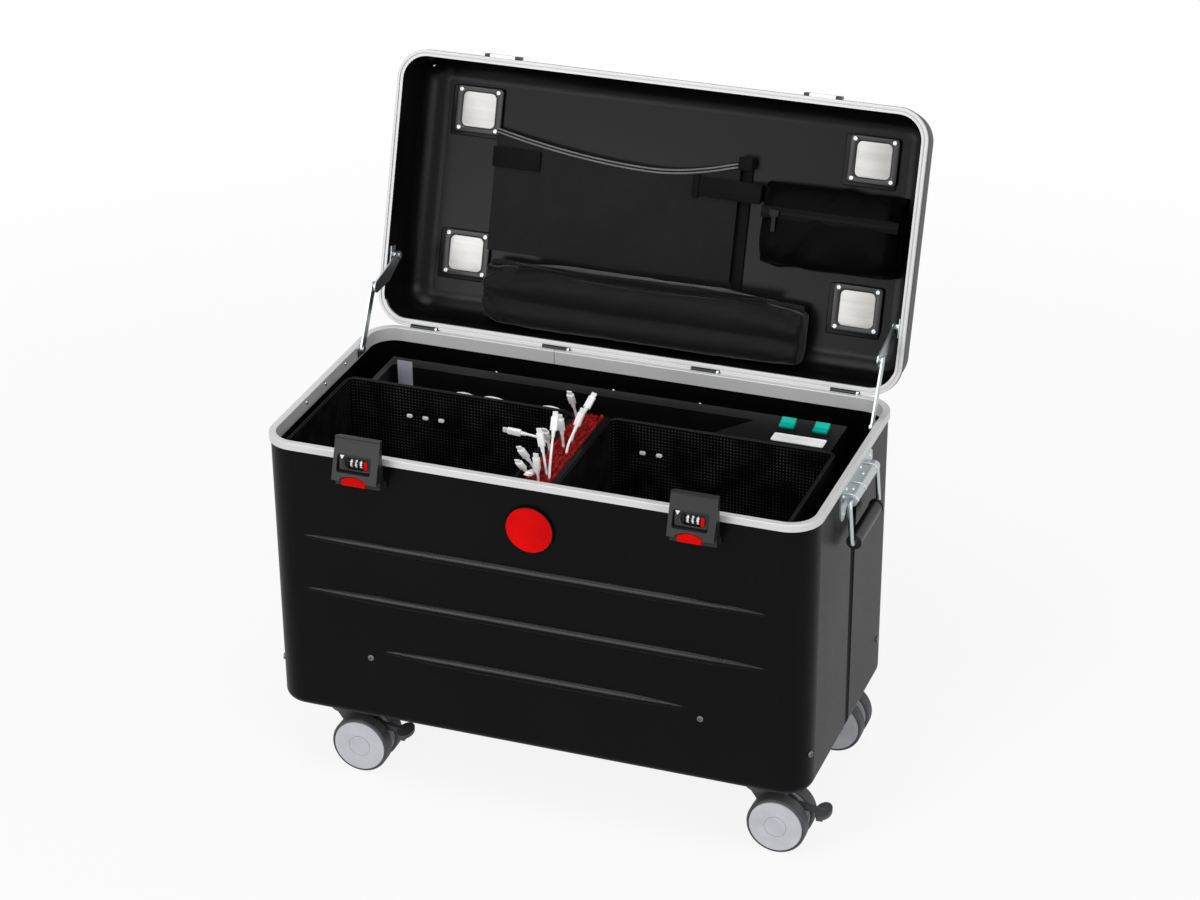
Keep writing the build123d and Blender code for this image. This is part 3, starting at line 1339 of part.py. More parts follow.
def build_nodes():
    nodes = {
        "body_shell": body_shell(),
        "body_rim": body_rim(),
        "badge_disc": badge_disc(),
        "left_tray": tray("left"),
        "right_tray": tray("right"),
        "centre_divider": centre_divider(),
        "cable_comb": cable_comb(),
        "charging_cables": group(cables()),
        "cable_plugs": group(cable_plug(route) for route in CABLE_ROUTES),
        "charging_housing": charging_housing(),
        "power_supply": power_supply(),
        "mains_inlet": mains_inlet(),
        "pull_tab": pull_tab(),
        "lock_bases": group(lock_base(side * LOCK_X) for _, side in SIDES),
        "handle_brackets": group(handle_bracket(side) for _, side in SIDES),
        "caster_plates": group(caster_plate(a * CASTER_X, b * CASTER_Y) for _, a, b in CASTERS),
        "hinge_case_leaves": group(hinge_case_leaf(x) for x in hinge_places()),
        "stay_case_brackets": group(stay_case_bracket(side) for _, side in SIDES),
        "lid_shell": lid_shell(),
        "lid_rim": lid_rim(),
        "lid_catches": group(lid_catch(side * LOCK_X) for _, side in SIDES),
        "hinge_lid_leaves": group(hinge_lid_leaf(x) for x in hinge_places()),
        "stay_lid_brackets": group(stay_lid_bracket(side) for _, side in SIDES),
        "pad_frames": group(pad_frame(x, y) for x, y in pad_places()),
        "pad_plates": group(pad_plate(x, y) for x, y in pad_places()),
        "document_pocket": document_pocket(),
        "zip_pouch": zip_pouch(),
        "zip_slider": zip_slider(),
        "cable_bag": cable_bag(),
    }
    for number, x in enumerate(rocker_places(), 1):
        nodes[f"rocker_switch_{number}"] = rocker_switch(x)
    for name, side in SIDES:
        nodes[f"stay_lower_{name}"] = stay_lower(side)
        nodes[f"stay_upper_{name}"] = stay_upper(side)
        nodes[f"lock_flap_{name}"] = lock_flap(side * LOCK_X)
        nodes[f"lock_button_{name}"] = lock_button(side * LOCK_X)
        for step in (-1, 0, 1):
            nodes[f"number_dial_{name}_{step + 2}"] = number_dial(side * LOCK_X, step)
        nodes[f"handle_bail_{name}"] = handle_bail(side)
        nodes[f"handle_grip_{name}"] = handle_grip(side)
    for name, across, along in CASTERS:
        x, y = across * CASTER_X, along * CASTER_Y
        braked = along < 0
        nodes[f"caster_fork_{name}"] = caster_fork(x, y, braked)
        nodes[f"wheels_{name}"] = wheel_pair(x, y)
        if braked:
            nodes[f"brake_pedal_{name}"] = brake_pedal(x, y)
    return nodes


os.makedirs("parts", exist_ok=True)
for node, shape in build_nodes().items():
    export_step(shape, f"parts/{node}.step")
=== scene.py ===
"""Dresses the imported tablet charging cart: finishes, cables, soft pockets and small fittings."""

import math
from contextlib import contextmanager

import bmesh
import bpy
from mathutils import Matrix, Vector, noise


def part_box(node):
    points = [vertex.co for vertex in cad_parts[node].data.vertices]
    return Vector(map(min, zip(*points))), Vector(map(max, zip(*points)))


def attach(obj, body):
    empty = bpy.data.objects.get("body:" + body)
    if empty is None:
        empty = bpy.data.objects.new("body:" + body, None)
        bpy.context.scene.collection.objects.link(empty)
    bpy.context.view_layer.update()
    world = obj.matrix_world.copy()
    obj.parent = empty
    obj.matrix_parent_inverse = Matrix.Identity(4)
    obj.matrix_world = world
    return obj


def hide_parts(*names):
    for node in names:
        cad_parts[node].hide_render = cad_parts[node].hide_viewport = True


bl_info = {
    "name": "Tablet Charging Cart",
    "version": (1, 0, 0),
    "blender": (4, 5, 0),
    "location": "View3D > Sidebar > Charging Cart",
    "description": "Finishes, cables, soft pockets and fittings of a tablet charging cart",
    "category": "Object",
}

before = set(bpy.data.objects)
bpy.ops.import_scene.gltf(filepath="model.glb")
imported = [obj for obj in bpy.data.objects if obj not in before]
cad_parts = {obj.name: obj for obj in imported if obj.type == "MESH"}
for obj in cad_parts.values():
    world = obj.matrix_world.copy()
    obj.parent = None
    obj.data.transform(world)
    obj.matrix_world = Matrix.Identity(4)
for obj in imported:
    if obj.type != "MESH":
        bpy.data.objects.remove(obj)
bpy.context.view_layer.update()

# The open lid: hinge line, opening angle, and the depth of its ceiling under the mating plane
HINGE_Y = 0.178
HINGE_Z = 0.4702
LID_TURN = math.radians(107.8)
LID_CEILING = 0.0849
LID = Matrix(
    (
        (1, 0, 0, 0),
        (0, -math.cos(LID_TURN), -math.sin(LID_TURN), HINGE_Y),
        (0, math.sin(LID_TURN), -math.cos(LID_TURN), HINGE_Z),
        (0, 0, 0, 1),
    )
)
LID_MIDDLE = Vector((0.0, 0.178, -0.030))
LID_LEAN = math.atan2(math.sin(LID_TURN), -math.cos(LID_TURN))

# Cable routes in metres: foot x and y, lean to the right and to the rear for a rise of one,
# rise above the comb, and free length up to the plug
COMB_TOP = 0.455
SLOT_DEPTH = 0.017
CABLE_ROUTES = (
    (-0.015, 0.027, 0.0, -0.55, 0.001, 0.0245),
    (0.0, -0.038, 0.18, 0.92, 0.001, 0.014),
    (0.006, -0.070, 0.29, 1.72, 0.012, 0.051),
    (0.010, -0.136, -0.11, 0.69, 0.008, 0.044),
    (-0.003, -0.052, -0.02, -0.20, 0.001, 0.0183),
    (-0.019, -0.0505, -20.0, 0.0, 0.008, 0.032),
    (-0.017, -0.062, 0.10, -0.67, 0.001, 0.0183),
    (-0.014, -0.117, -0.26, -0.65, 0.001, 0.0195),
    (0.004, -0.126, -0.17, 0.02, 0.001, 0.0294),
    (0.001, -0.147, 0.03, -0.24, 0.001, 0.0134),
    (-0.015, -0.138, -0.11, -0.86, 0.0042, 0.0114),
    (-0.008, -0.119, 0.0, -3.40, 0.0042, 0.0144),
)
TROUGH_FLOOR = 0.413
LOOP_HALF = 0.034
SLACK_LOOPS = ((-0.179, 0.066, 0.032), (-0.143, 0.074, 0.028), (-0.063, 0.067, 0.0315))
LOOP_OUTLINE = ((-0.90, 0.0), (-0.90, 0.58), (-0.36, 1.0), (0.28, 0.97), (0.84, 0.56), (0.84, 0.0))

# Pieces that repeat, and their places on the case
SIDES = (("left", -1), ("right", 1))
BRAKED = ("front_left", "front_right")
CASTERS = (*BRAKED, "rear_left", "rear_right")
LOCK_X = 0.211
HINGES = (-0.282, -0.100, 0.100, 0.282)

# Lengths that tell one part of a piece from another in its finish
RIB_BASE = 0.1738
RIM_SEAM_X, RIM_SEAM_HALF, RIM_SEAM_REAR = -0.0995, 0.0004, 0.12
LIP_DEPTH, LIP_LINE, LIP_LINE_HALF, LIP_RISE = 0.0044, 0.0024, 0.0005, 0.03
KEEPER_HALF = 0.0168
# Bristles: heights over which the painted shade at their roots fades out, and the comb's black edge
BRISTLE_ROOT, BRISTLE_TIP, COMB_EDGE_X = 0.4535, 0.4580, -0.0172
# Badge: its height, and the radius of its red disc, outside which the painted shadow ring lies
BADGE_Z, BADGE_RED = 0.407, 0.0294
TYRE_INNER = 0.0337
LINER_DOT_PITCH = 0.0042

# The cloth simulation that fills the soft pieces
CLOTH_FRAMES = 20
CLOTH_STIFFNESS = 0.2


# Values that a user would change


def tint(name, note, value):
    return bpy.props.FloatVectorProperty(
        name=name, description=note, subtype="COLOR", size=4, min=0.0, max=1.0, default=(*value, 1.0)
    )


def size(name, note, value):
    return bpy.props.FloatProperty(
        name=name, description=note, subtype="DISTANCE", unit="LENGTH", min=0.0, default=value
    )


def bearing(name, note, degrees):
    return bpy.props.FloatProperty(
        name=name, description=note, subtype="ANGLE", default=math.radians(degrees)
    )


def wattage(name, note, value):
    return bpy.props.FloatProperty(name=name, description=note, subtype="POWER", default=value)


class CartColours(bpy.types.PropertyGroup):
    """Colours of the cart's finishes."""

    shell: tint("Shell", "Moulded case and lid", (0.0020, 0.0020, 0.0020))
    rim: tint("Rim", "Aluminium rim profile", (0.66, 0.66, 0.66))
    zinc: tint("Zinc", "Plated hinges, brackets, stays and handles", (0.50, 0.54, 0.55))
    red: tint("Red", "Badge, lock buttons and comb", (0.62, 0.0020, 0.0016))
    liner: tint("Liner", "Dotted liner of the compartments", (0.0012, 0.0012, 0.0014))
    plastic: tint("Black plastic", "Housing, divider and pad frames", (0.0040, 0.0040, 0.0045))
    cable: tint("Cable", "Charging cables and plugs", (0.86, 0.86, 0.85))
    webbing: tint("Webbing", "Pull tab", (0.30, 0.30, 0.36))
    lock: tint("Lock", "Lock flaps and dials", (0.015, 0.0145, 0.0145))
    label: tint("Label", "Bare label plate and lenses", (0.85, 0.86, 0.86))
    teal: tint("Teal", "Rocker switches", (0.0, 0.44, 0.345))
    rubber: tint("Rubber", "Handle grips", (0.004, 0.004, 0.004))
    tread: tint("Tread", "Wheel tyres, caster forks and brake pedals", (0.055, 0.056, 0.060))
    disc: tint("Wheel disc", "Wheel sides", (0.58, 0.59, 0.63))
    pad: tint("Pad plate", "Brushed corner plates", (0.66, 0.65, 0.63))
    leather: tint("Leather", "Document pocket", (0.0070, 0.0068, 0.0066))
    fabric: tint("Fabric", "Zip pouch and cable bag", (0.0045, 0.0042, 0.0042))
    # The piping is real; its pale grey is painted highlight, the bright lines along the elastic
    piping: tint("Piping", "Elastic edge of the pocket", (0.20, 0.20, 0.20))


class CartSizes(bpy.types.PropertyGroup):
    """Sizes of the pieces that are modelled here."""

    cable: size("Cable", "Diameter of a charging cable", 0.0032)
    plug_length: size("Plug body", "Length of a plug's moulded body", 0.017)
    plug_width: size("Plug width", "Width of a plug's moulded body", 0.0090)
    plug_thickness: size("Plug thickness", "Thickness of a plug's moulded body", 0.0056)
    plug_boot: size("Plug boot", "Length of a plug's strain relief", 0.008)
    plug_tongue: size("Plug tongue", "Length of a plug's metal tongue", 0.0065)
    screw: size("Screw", "Radius of a pad screw's head", 0.0026)
    rivet: size("Rivet", "Radius of a dome rivet", 0.0026)
    case_screw: size("Case screw", "Radius of a case screw's head", 0.0042)
    bristle: size("Bristle", "Length of a comb bristle", 0.0085)
    piping: size("Piping", "Radius of the pocket's elastic piping", 0.0011)
    leather: size("Leather", "Thickness of the pocket's panel", 0.0014)
    voxel: size("Voxel", "Grid of the soft pieces before they are filled", 0.0045)


class CartStage(bpy.types.PropertyGroup):
    """Camera, lamps and sky."""

    lens: bpy.props.FloatProperty(
        name="Lens", description="Focal length", subtype="DISTANCE_CAMERA", unit="CAMERA", default=98.87
    )
    camera: bpy.props.FloatVectorProperty(
        name="Camera", description="Place of the camera", subtype="TRANSLATION",
        default=(1.27098, -3.35914, 2.26756),
    )
    yaw: bearing("Yaw", "Turn of the view about the upright", 20.36)
    pitch: bearing("Pitch", "Height of the view above the level", 27.13)
    roll: bearing("Roll", "Lean of the view", -0.48)
    key: wattage("Key", "Power of the lamp on the left", 46.0)
    fill: wattage("Fill", "Power of the lamp on the right", 34.0)
    top: wattage("Top", "Power of the lamp overhead", 40.0)
    low: wattage("Low", "Power of the low lamp in front", 11.0)
    sky: bpy.props.FloatProperty(
        name="Sky", description="Strength of the light from all round", min=0.0, default=0.36
    )


# Working by hand: one piece selected, shaped, finished


def deselect():
    if bpy.context.mode != "OBJECT":
        bpy.ops.object.mode_set(mode="OBJECT")
    bpy.ops.object.select_all(action="DESELECT")


def take(obj):
    deselect()
    obj.select_set(True)
    bpy.context.view_layer.objects.active = obj
    return obj


def begin(name, add, **settings):
    """Adds a primitive at its size and place and names it."""
    deselect()
    add(**settings)
    obj = bpy.context.object
    obj.name = name
    obj.data.name = name
    bpy.ops.object.transform_apply(location=True, rotation=True, scale=True)
    return obj


def block(name, low, high):
    """A cube between two corners, to be shaped further."""
    middle = [(a + b) / 2 for a, b in zip(low, high)]
    span = [b - a for a, b in zip(low, high)]
    return begin(name, bpy.ops.mesh.primitive_cube_add, size=1, location=middle, scale=span)


@contextmanager
def edit(obj):
    take(obj)
    bpy.ops.object.mode_set(mode="EDIT")
    bpy.ops.mesh.select_all(action="SELECT")
    yield
    bpy.ops.object.mode_set(mode="OBJECT")


def pick(obj, kind, test):
    """Selects the points, edges or faces that pass a test, in edit mode."""
    bpy.ops.mesh.select_mode(type=kind)
    bpy.ops.mesh.select_all(action="DESELECT")
    shape = bmesh.from_edit_mesh(obj.data)
    for element in {"VERT": shape.verts, "EDGE": shape.edges, "FACE": shape.faces}[kind]:
        element.select_set(bool(test(element)))
    shape.select_flush_mode()
    bmesh.update_edit_mesh(obj.data)


def level(edge, height):
    """True for an edge that lies at a height."""
    return all(abs(point.co.z - height) < 1e-5 for point in edge.verts)


def upright(edge):
    """True for an edge that runs up and down."""
    return abs(edge.verts[0].co.z - edge.verts[1].co.z) > 0.9 * edge.calc_length()


def modify(obj, kind, **settings):
    """Adds a modifier and applies it at once."""
    take(obj)
    added = obj.modifiers.new(kind, kind)
    for key, value in settings.items():
        setattr(added, key, value)
    bpy.ops.object.modifier_apply(modifier=added.name)
    return obj


def smooth(obj, angle=35.0):
    take(obj)
    bpy.ops.object.shade_smooth_by_angle(angle=math.radians(angle))
    return obj


def settle(obj, place):
    """Moves a piece's mesh, while its object stays at the origin."""
    obj.data.transform(place)
    obj.data.update()
    return obj


def join(name, parts):
    """Makes one named piece of several."""
    take(parts[0])
    for part in parts[1:]:
        part.select_set(True)
    if len(parts) > 1:
        bpy.ops.object.join()
    parts[0].name = name
    parts[0].data.name = name
    return parts[0]


def twin(model):
    """A copy of a piece with its own mesh or curve."""
    copy = model.copy()
    copy.data = model.data.copy()
    bpy.context.scene.collection.objects.link(copy)
    return copy


def copies(model, places, name):
    """One piece out of copies of a model, each at its place."""
    made = [settle(twin(model), place) for place in places]
    discard(model)
    return join(name, made)


def discard(obj):
    bpy.data.objects.remove(obj)


def round_line(name, places, radius, steps, sides, closed=False):
    """A round curve along a row of places."""
    line = bpy.data.curves.new(name, "CURVE")
    line.dimensions = "3D"
    line.resolution_u = steps
    line.bevel_depth = radius
    line.bevel_resolution = sides
    line.use_fill_caps = True
    spline = line.splines.new("NURBS")
    spline.points.add(len(places) - 1)
    for point, place in zip(spline.points, places):
        point.co = (*place, 1.0)
    spline.order_u = 3
    spline.use_cyclic_u = closed
    spline.use_endpoint_u = not closed
    made = bpy.data.objects.new(name, line)
    bpy.context.scene.collection.objects.link(made)
    return made


def strand(name, places, radius, closed=False):
    """A round strand along a row of places, as a mesh."""
    take(round_line(name, places, radius, 4, 3, closed))
    bpy.ops.object.convert(target="MESH")
    return smooth(bpy.context.object, 60)


def draw_up(obj, profile):
    """Draws a top face up through the heights and radii of a profile."""
    with edit(obj):
        pick(obj, "FACE", lambda face: face.normal.z > 0.9)
        for (low, before), (high, after) in zip(profile, profile[1:]):
            bpy.ops.mesh.extrude_region_move(TRANSFORM_OT_translate={"value": (0, 0, high - low)})
            bpy.ops.transform.resize(value=(after / before, after / before, 1.0))
    return obj


def turned_to(direction):
    """A turn that points a piece's upward side in a direction."""
    return Vector(direction).to_track_quat("Z", "Y").to_matrix().to_4x4()


def dress(obj, finish, body, slot, *replaced):
    """Gives a finished piece its material and its body, and hides the nodes that it stands for. The slot is
    not used.
    """
    obj.data.materials.clear()
    obj.data.materials.append(finish)
    return hand_over(obj, body, slot, *replaced)


def hand_over(obj, body, slot, *replaced):
    """Gives a piece its body and hides the nodes that it stands for. The slot is not used."""
    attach(obj, body)
    if replaced:
        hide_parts(*replaced)
    return obj


def draw_in(cover, foot, top, front, rows):
    """Cuts a block into rows and draws each row of its front in, from the foot up, in edit mode."""
    bpy.ops.mesh.subdivide(number_cuts=len(rows) - 2)
    step = (top - foot) / (len(rows) - 1)
    for row, depth in enumerate(rows):
        height = foot + row * step
        pick(cover, "VERT", lambda point: point.co.z > front - 1e-4 and abs(point.co.y - height) < 1e-3)
        bpy.ops.transform.translate(value=(0, 0, -depth))


def puff(obj, voxel, pressure, cap, held, shift):
    """Fills a soft piece by cloth simulation; points that pass the test stay where they are."""
    modify(obj, "REMESH", mode="VOXEL", voxel_size=voxel)
    start = [point.co.copy() for point in obj.data.vertices]
    group = obj.vertex_groups.new(name="held")
    group.add([i for i, place in enumerate(start) if held(place)], 1.0, "REPLACE")
    take(obj)
    cloth = obj.modifiers.new("Cloth", "CLOTH")
    cloth.settings.use_pressure = True
    cloth.settings.uniform_pressure_force = pressure
    cloth.settings.effector_weights.gravity = 0.0
    cloth.settings.vertex_group_mass = group.name
    cloth.settings.bending_stiffness = CLOTH_STIFFNESS
    scene = bpy.context.scene
    for number in range(1, CLOTH_FRAMES + 1):
        scene.frame_set(number)
    bpy.ops.object.modifier_apply(modifier=cloth.name)
    scene.frame_set(1)
    for point, place in zip(obj.data.vertices, start):
        move = point.co - place
        if move.length > cap:
            point.co = place + move * (cap / move.length)
    obj.vertex_groups.clear()
    crumple(obj, shift)
    return modify(obj, "SUBSURF", levels=1, render_levels=1)


def crumple(obj, shift):
    """Moves each point along its normal by a small amount that its place decides."""
    moves = [point.normal * shift(point.co) for point in obj.data.vertices]
    for point, move in zip(obj.data.vertices, moves):
        point.co += move
        point.co.z = max(point.co.z, -LID_CEILING)


# Finishes


class Flow:
    """A socket of a finish that takes part in sums."""

    def __init__(self, finish, socket):
        self.finish = finish
        self.socket = socket

    def work(self, operation, other=0.0, turned=False):
        pair = (other, self) if turned else (self, other)
        return self.finish.add("ShaderNodeMath", {"operation": operation}, dict(enumerate(pair)))

    def __add__(self, other):
        return self.work("ADD", other)

    def __sub__(self, other):
        return self.work("SUBTRACT", other)

    def __rsub__(self, other):
        return self.work("SUBTRACT", other, True)

    def __mul__(self, other):
        return self.work("MULTIPLY", other)

    def __gt__(self, other):
        return self.work("GREATER_THAN", other)

    def __lt__(self, other):
        return self.work("LESS_THAN", other)

    def __abs__(self):
        return self.work("ABSOLUTE")

    __radd__ = __add__
    __rmul__ = __mul__


class Finish:
    """One material: its shader and the nodes that vary it over the piece."""

    def __init__(self, name, constants):
        self.material = bpy.data.materials.new(name)
        self.material.use_nodes = True
        self.tree = self.material.node_tree
        self.skin = self.tree.nodes["Principled BSDF"]
        for socket, value in constants.items():
            self.skin.inputs[socket].default_value = value
        self.spot = self.add("ShaderNodeTexCoord", out="Object")

    def add(self, kind, settings=None, sockets=None, out=0):
        node = self.tree.nodes.new(kind)
        for key, value in (settings or {}).items():
            setattr(node, key, value)
        for key, value in (sockets or {}).items():
            self.feed(node.inputs[key], value)
        return Flow(self, node.outputs[out])

    def feed(self, socket, value):
        if isinstance(value, Flow):
            self.tree.links.new(value.socket, socket)
        else:
            socket.default_value = value

    def show(self, socket, value):
        self.feed(self.skin.inputs[socket], value)

    def spread(self, scale=(1, 1, 1), turn=(0, 0, 0), move=(0, 0, 0)):
        return self.add(
            "ShaderNodeMapping",
            sockets={"Vector": self.spot, "Location": move, "Rotation": turn, "Scale": scale},
        )

    def axes(self, vector=None):
        node = self.add("ShaderNodeSeparateXYZ", sockets={"Vector": vector or self.spot}).socket.node
        return [Flow(self, socket) for socket in node.outputs]

    def noise(self, scale, detail=2.0, spread=None):
        sockets = {"Vector": spread or self.spot, "Scale": scale, "Detail": detail}
        return self.add("ShaderNodeTexNoise", sockets=sockets, out="Fac")

    def cells(self, scale, feature="F1"):
        sockets = {"Vector": self.spot, "Scale": scale}
        return self.add("ShaderNodeTexVoronoi", {"feature": feature}, sockets, "Distance")

    def waves(self, scale, direction, spread):
        settings = {"bands_direction": direction, "wave_profile": "SIN"}
        sockets = {"Vector": spread, "Scale": scale}
        return self.add("ShaderNodeTexWave", settings, sockets, "Fac")

    def fit(self, value, low, high, to_low=0.0, to_high=1.0):
        return self.add(
            "ShaderNodeMapRange", {"clamp": True}, {0: value, 1: low, 2: high, 3: to_low, 4: to_high}
        )

    def mix(self, share, first, second):
        return self.add("ShaderNodeMix", {"data_type": "RGBA"}, {0: share, 6: first, 7: second}, 2)

    def dot(self, first, second):
        return self.add("ShaderNodeVectorMath", {"operation": "DOT_PRODUCT"}, {0: first, 1: second}, "Value")

    def away_from(self, place):
        return self.add("ShaderNodeVectorMath", {"operation": "SUBTRACT"}, {0: self.spot, 1: place})

    def facing(self):
        return self.add("ShaderNodeTexCoord", out="Normal")

    def from_axis(self, x, z):
        """Distance from an axle that runs from front to rear."""
        across, _, height = self.axes(self.spread(move=(-x, 0, -z)))
        return (across * across + height * height).work("SQRT")

    def relief(self, height, depth, strength):
        bump = {"Height": height, "Distance": depth, "Strength": strength}
        self.show("Normal", self.add("ShaderNodeBump", sockets=bump))


def shade(colour, factor):
    """A colour made darker or lighter."""
    return (*(min(1.0, channel * factor) for channel in colour[:3]), 1.0)


def shell_finish(name, colour):
    """Satin moulded shell with a fine grain, rubbed brighter along the upper flanks of its ribs."""
    made = Finish(name, {"Specular IOR Level": 0.07, "Coat Roughness": 0.3})
    _, along, _ = made.axes()
    _, forward, upward = made.axes(made.facing())
    rubbed = made.fit(upward, 0.12, 0.4) * (abs(forward) > 0.3) * (abs(along) > RIB_BASE)
    grain = made.cells(620.0)
    cloud = made.noise(5.0, 3.0)
    scuffs = made.fit(made.noise(60.0, 4.0, made.spread((1, 1, 0.25))), 0.62, 0.75)
    worn = made.fit(cloud, 0.3, 0.7) * 0.6 + scuffs * 0.3
    made.show("Base Color", made.mix(worn, shade(colour, 0.8), shade(colour, 1.7)))
    made.show("Roughness", 0.28 + cloud * 0.08 + grain * 0.08)
    made.show("Coat Weight", rubbed * 0.42)
    made.relief(grain, 0.00035, 0.35)
    return made.material


def lid_finish(name, colour):
    """The lid's shell: grained outside, smooth and glossier inside."""
    made = Finish(name, {"Specular IOR Level": 0.14})
    outside = made.dot(made.away_from(LID @ LID_MIDDLE), made.facing()) > 0.0
    grain = made.cells(620.0)
    cloud = made.noise(5.0, 3.0)
    made.show("Base Color", made.mix(made.fit(cloud, 0.3, 0.7), shade(colour, 0.8), shade(colour, 1.5)))
    made.show("Roughness", 0.26 + cloud * 0.06 + outside * 0.14)
    made.relief(grain * (outside * 0.9 + 0.06), 0.00035, 0.35)
    return made.material


def metal_finish(name, colour, roughness):
    """Worked metal with a little unevenness, dull patches and fine scratches."""
    made = Finish(name, {"Metallic": 1.0})
    lines = made.noise(240.0, 3.0)
    dull = made.noise(14.0, 3.0)
    scratch = made.fit(made.noise(420.0, 2.0, made.spread((0.05, 1.0, 1.0))), 0.66, 0.72)
    share = made.fit(dull, 0.35, 0.75) * 0.6 + scratch * 0.2
    made.show("Base Color", made.mix(share, colour, shade(colour, 0.88)))
    made.show("Roughness", roughness - 0.05 + lines * 0.10 + dull * 0.06)
    made.relief(lines, 0.00012, 0.3)
    return made.material


def rim_finish(name, colour):
    """Satin aluminium with drawn lines and a seam where the profile's ends meet."""
    made = Finish(name, {"Metallic": 0.25})
    across, along, _ = made.axes()
    seam = (abs(across - RIM_SEAM_X) < RIM_SEAM_HALF) * (along > RIM_SEAM_REAR)
    body, lines, dull = drawn_metal(made, colour)
    made.show("Base Color", made.mix(seam, body, (0.05, 0.05, 0.05, 1.0)))
    made.show("Roughness", 0.36 + lines * 0.12 + dull * 0.06)
    made.relief(lines, 0.0001, 0.25)
    return made.material


def lid_rim_finish(name, colour, shell):
    """The lid's rim: bright on its face and its narrow lip, black inside and where the shell begins."""
    made = Finish(name, {"Specular IOR Level": 0.08})
    inward = made.dot(made.away_from(LID @ LID_MIDDLE), made.facing()) < 0.0
    from_hinge = made.away_from(LID.translation)
    depth = made.dot(from_hinge, LID.col[2].xyz) * -1.0
    height = made.dot(from_hinge, LID.col[1].xyz)
    black = (inward * (height > LIP_RISE)).work("MAXIMUM", depth > LIP_DEPTH)
    body, lines, dull = drawn_metal(made, colour)
    line = abs(depth - LIP_LINE) < LIP_LINE_HALF
    bright = made.mix(line, body, shade(colour, 0.30))
    made.show("Base Color", made.mix(black, bright, shell))
    made.show("Metallic", (1.0 - black) * 0.25)
    made.show("Roughness", 0.34 + lines * 0.12 + dull * 0.06)
    made.relief(lines, 0.0001, 0.25)
    return made.material


def drawn_metal(made, colour):
    """Colour of drawn metal, with its lines and its dull patches."""
    lines = made.noise(300.0, 3.0, made.spread((0.04, 1.0, 1.0)))
    dull = made.noise(9.0, 3.0)
    return made.mix(made.fit(dull, 0.35, 0.75) * 0.5, colour, shade(colour, 0.88)), lines, dull


def catch_finish(name, colour):
    """Bright keeper plate between dark ends."""
    made = Finish(name, {"Metallic": 0.3})
    across, _, _ = made.axes()
    ends = abs(abs(across) - LOCK_X) > KEEPER_HALF
    body, lines, dull = drawn_metal(made, colour)
    made.show("Base Color", made.mix(ends, body, (0.01, 0.01, 0.01, 1.0)))
    made.show("Roughness", 0.28 + lines * 0.1 + dull * 0.06)
    made.relief(lines, 0.0001, 0.25)
    return made.material


def moulded_finish(name, colour, roughness, gloss=0.3, grain=900.0, depth=0.0001):
    """Moulded plastic with a fine spark-eroded texture."""
    made = Finish(name, {"Specular IOR Level": gloss})
    made.show("Base Color", moulded_skin(made, colour, roughness, grain, depth))
    return made.material


def moulded_skin(made, colour, roughness, grain=900.0, depth=0.0001):
    """Colour of moulded plastic, whose sheen and pits are shown at once."""
    pits = made.noise(grain, 2.0)
    cloud = made.noise(22.0, 3.0)
    made.show("Roughness", roughness - 0.04 + cloud * 0.08 + pits * 0.05)
    made.relief(pits, depth, 0.4)
    return made.mix(made.fit(cloud, 0.3, 0.7), shade(colour, 0.86), shade(colour, 1.18))


def liner_finish(name, colour):
    """Black liner with rows of small bumps on every wall. Each bump carries a pale dot as a painted
    highlight, which fades in and out in patches.
    """
    made = Finish(name, {"Specular IOR Level": 0.03})
    turns = 2.0 * math.pi / LINER_DOT_PITCH
    rows = sum(
        (place * turns).work("COSINE") * (1.0 - abs(side))
        for place, side in zip(made.axes(), made.axes(made.facing()))
    )
    # Painted highlight: patches over which the pale glints on the bumps fade in and out
    painted_glint_patches = made.fit(made.noise(30.0, 3.0), 0.38, 0.62, 0.15, 1.0)
    bumps_and_painted_glints = made.fit(rows, 0.7, 1.5)
    # The bumps take a pale colour, a painted glint on each, as well as their relief and their gloss
    made.show("Base Color", made.mix(bumps_and_painted_glints * painted_glint_patches, colour, (0.06, 0.061, 0.061, 1.0)))
    made.show("Roughness", 0.62 - bumps_and_painted_glints * 0.25)
    made.relief(bumps_and_painted_glints, 0.0006, 0.6)
    return made.material


def comb_finish(name, colour):
    """Red bristles with painted shade at their roots and painted highlights on their tufts, beside a black
    edge.
    """
    made = Finish(name, {"Specular IOR Level": 0.2})
    across, _, height = made.axes()
    tufts = made.noise(330.0, 3.0, made.spread((1.0, 0.6, 0.5)))
    # Painted shade: the bristles grow darker towards their roots, where shade falls between them
    painted_root_shade_fade = made.fit(height, BRISTLE_ROOT, BRISTLE_TIP)
    # Painted highlight: tufts painted darker and lighter at random, the lighter ones a pale red highlight
    tufts_painted_highlights = made.mix(made.fit(tufts, 0.36, 0.64), shade(colour, 0.45), (0.80, 0.055, 0.055, 1.0))
    red = made.mix(painted_root_shade_fade, shade(colour, 0.16), tufts_painted_highlights)
    made.show("Base Color", made.mix(across < COMB_EDGE_X, red, (0.004, 0.003, 0.003, 1.0)))
    made.show("Roughness", 0.42 + tufts * 0.2)
    made.relief(tufts, 0.0008, 0.6)
    return made.material


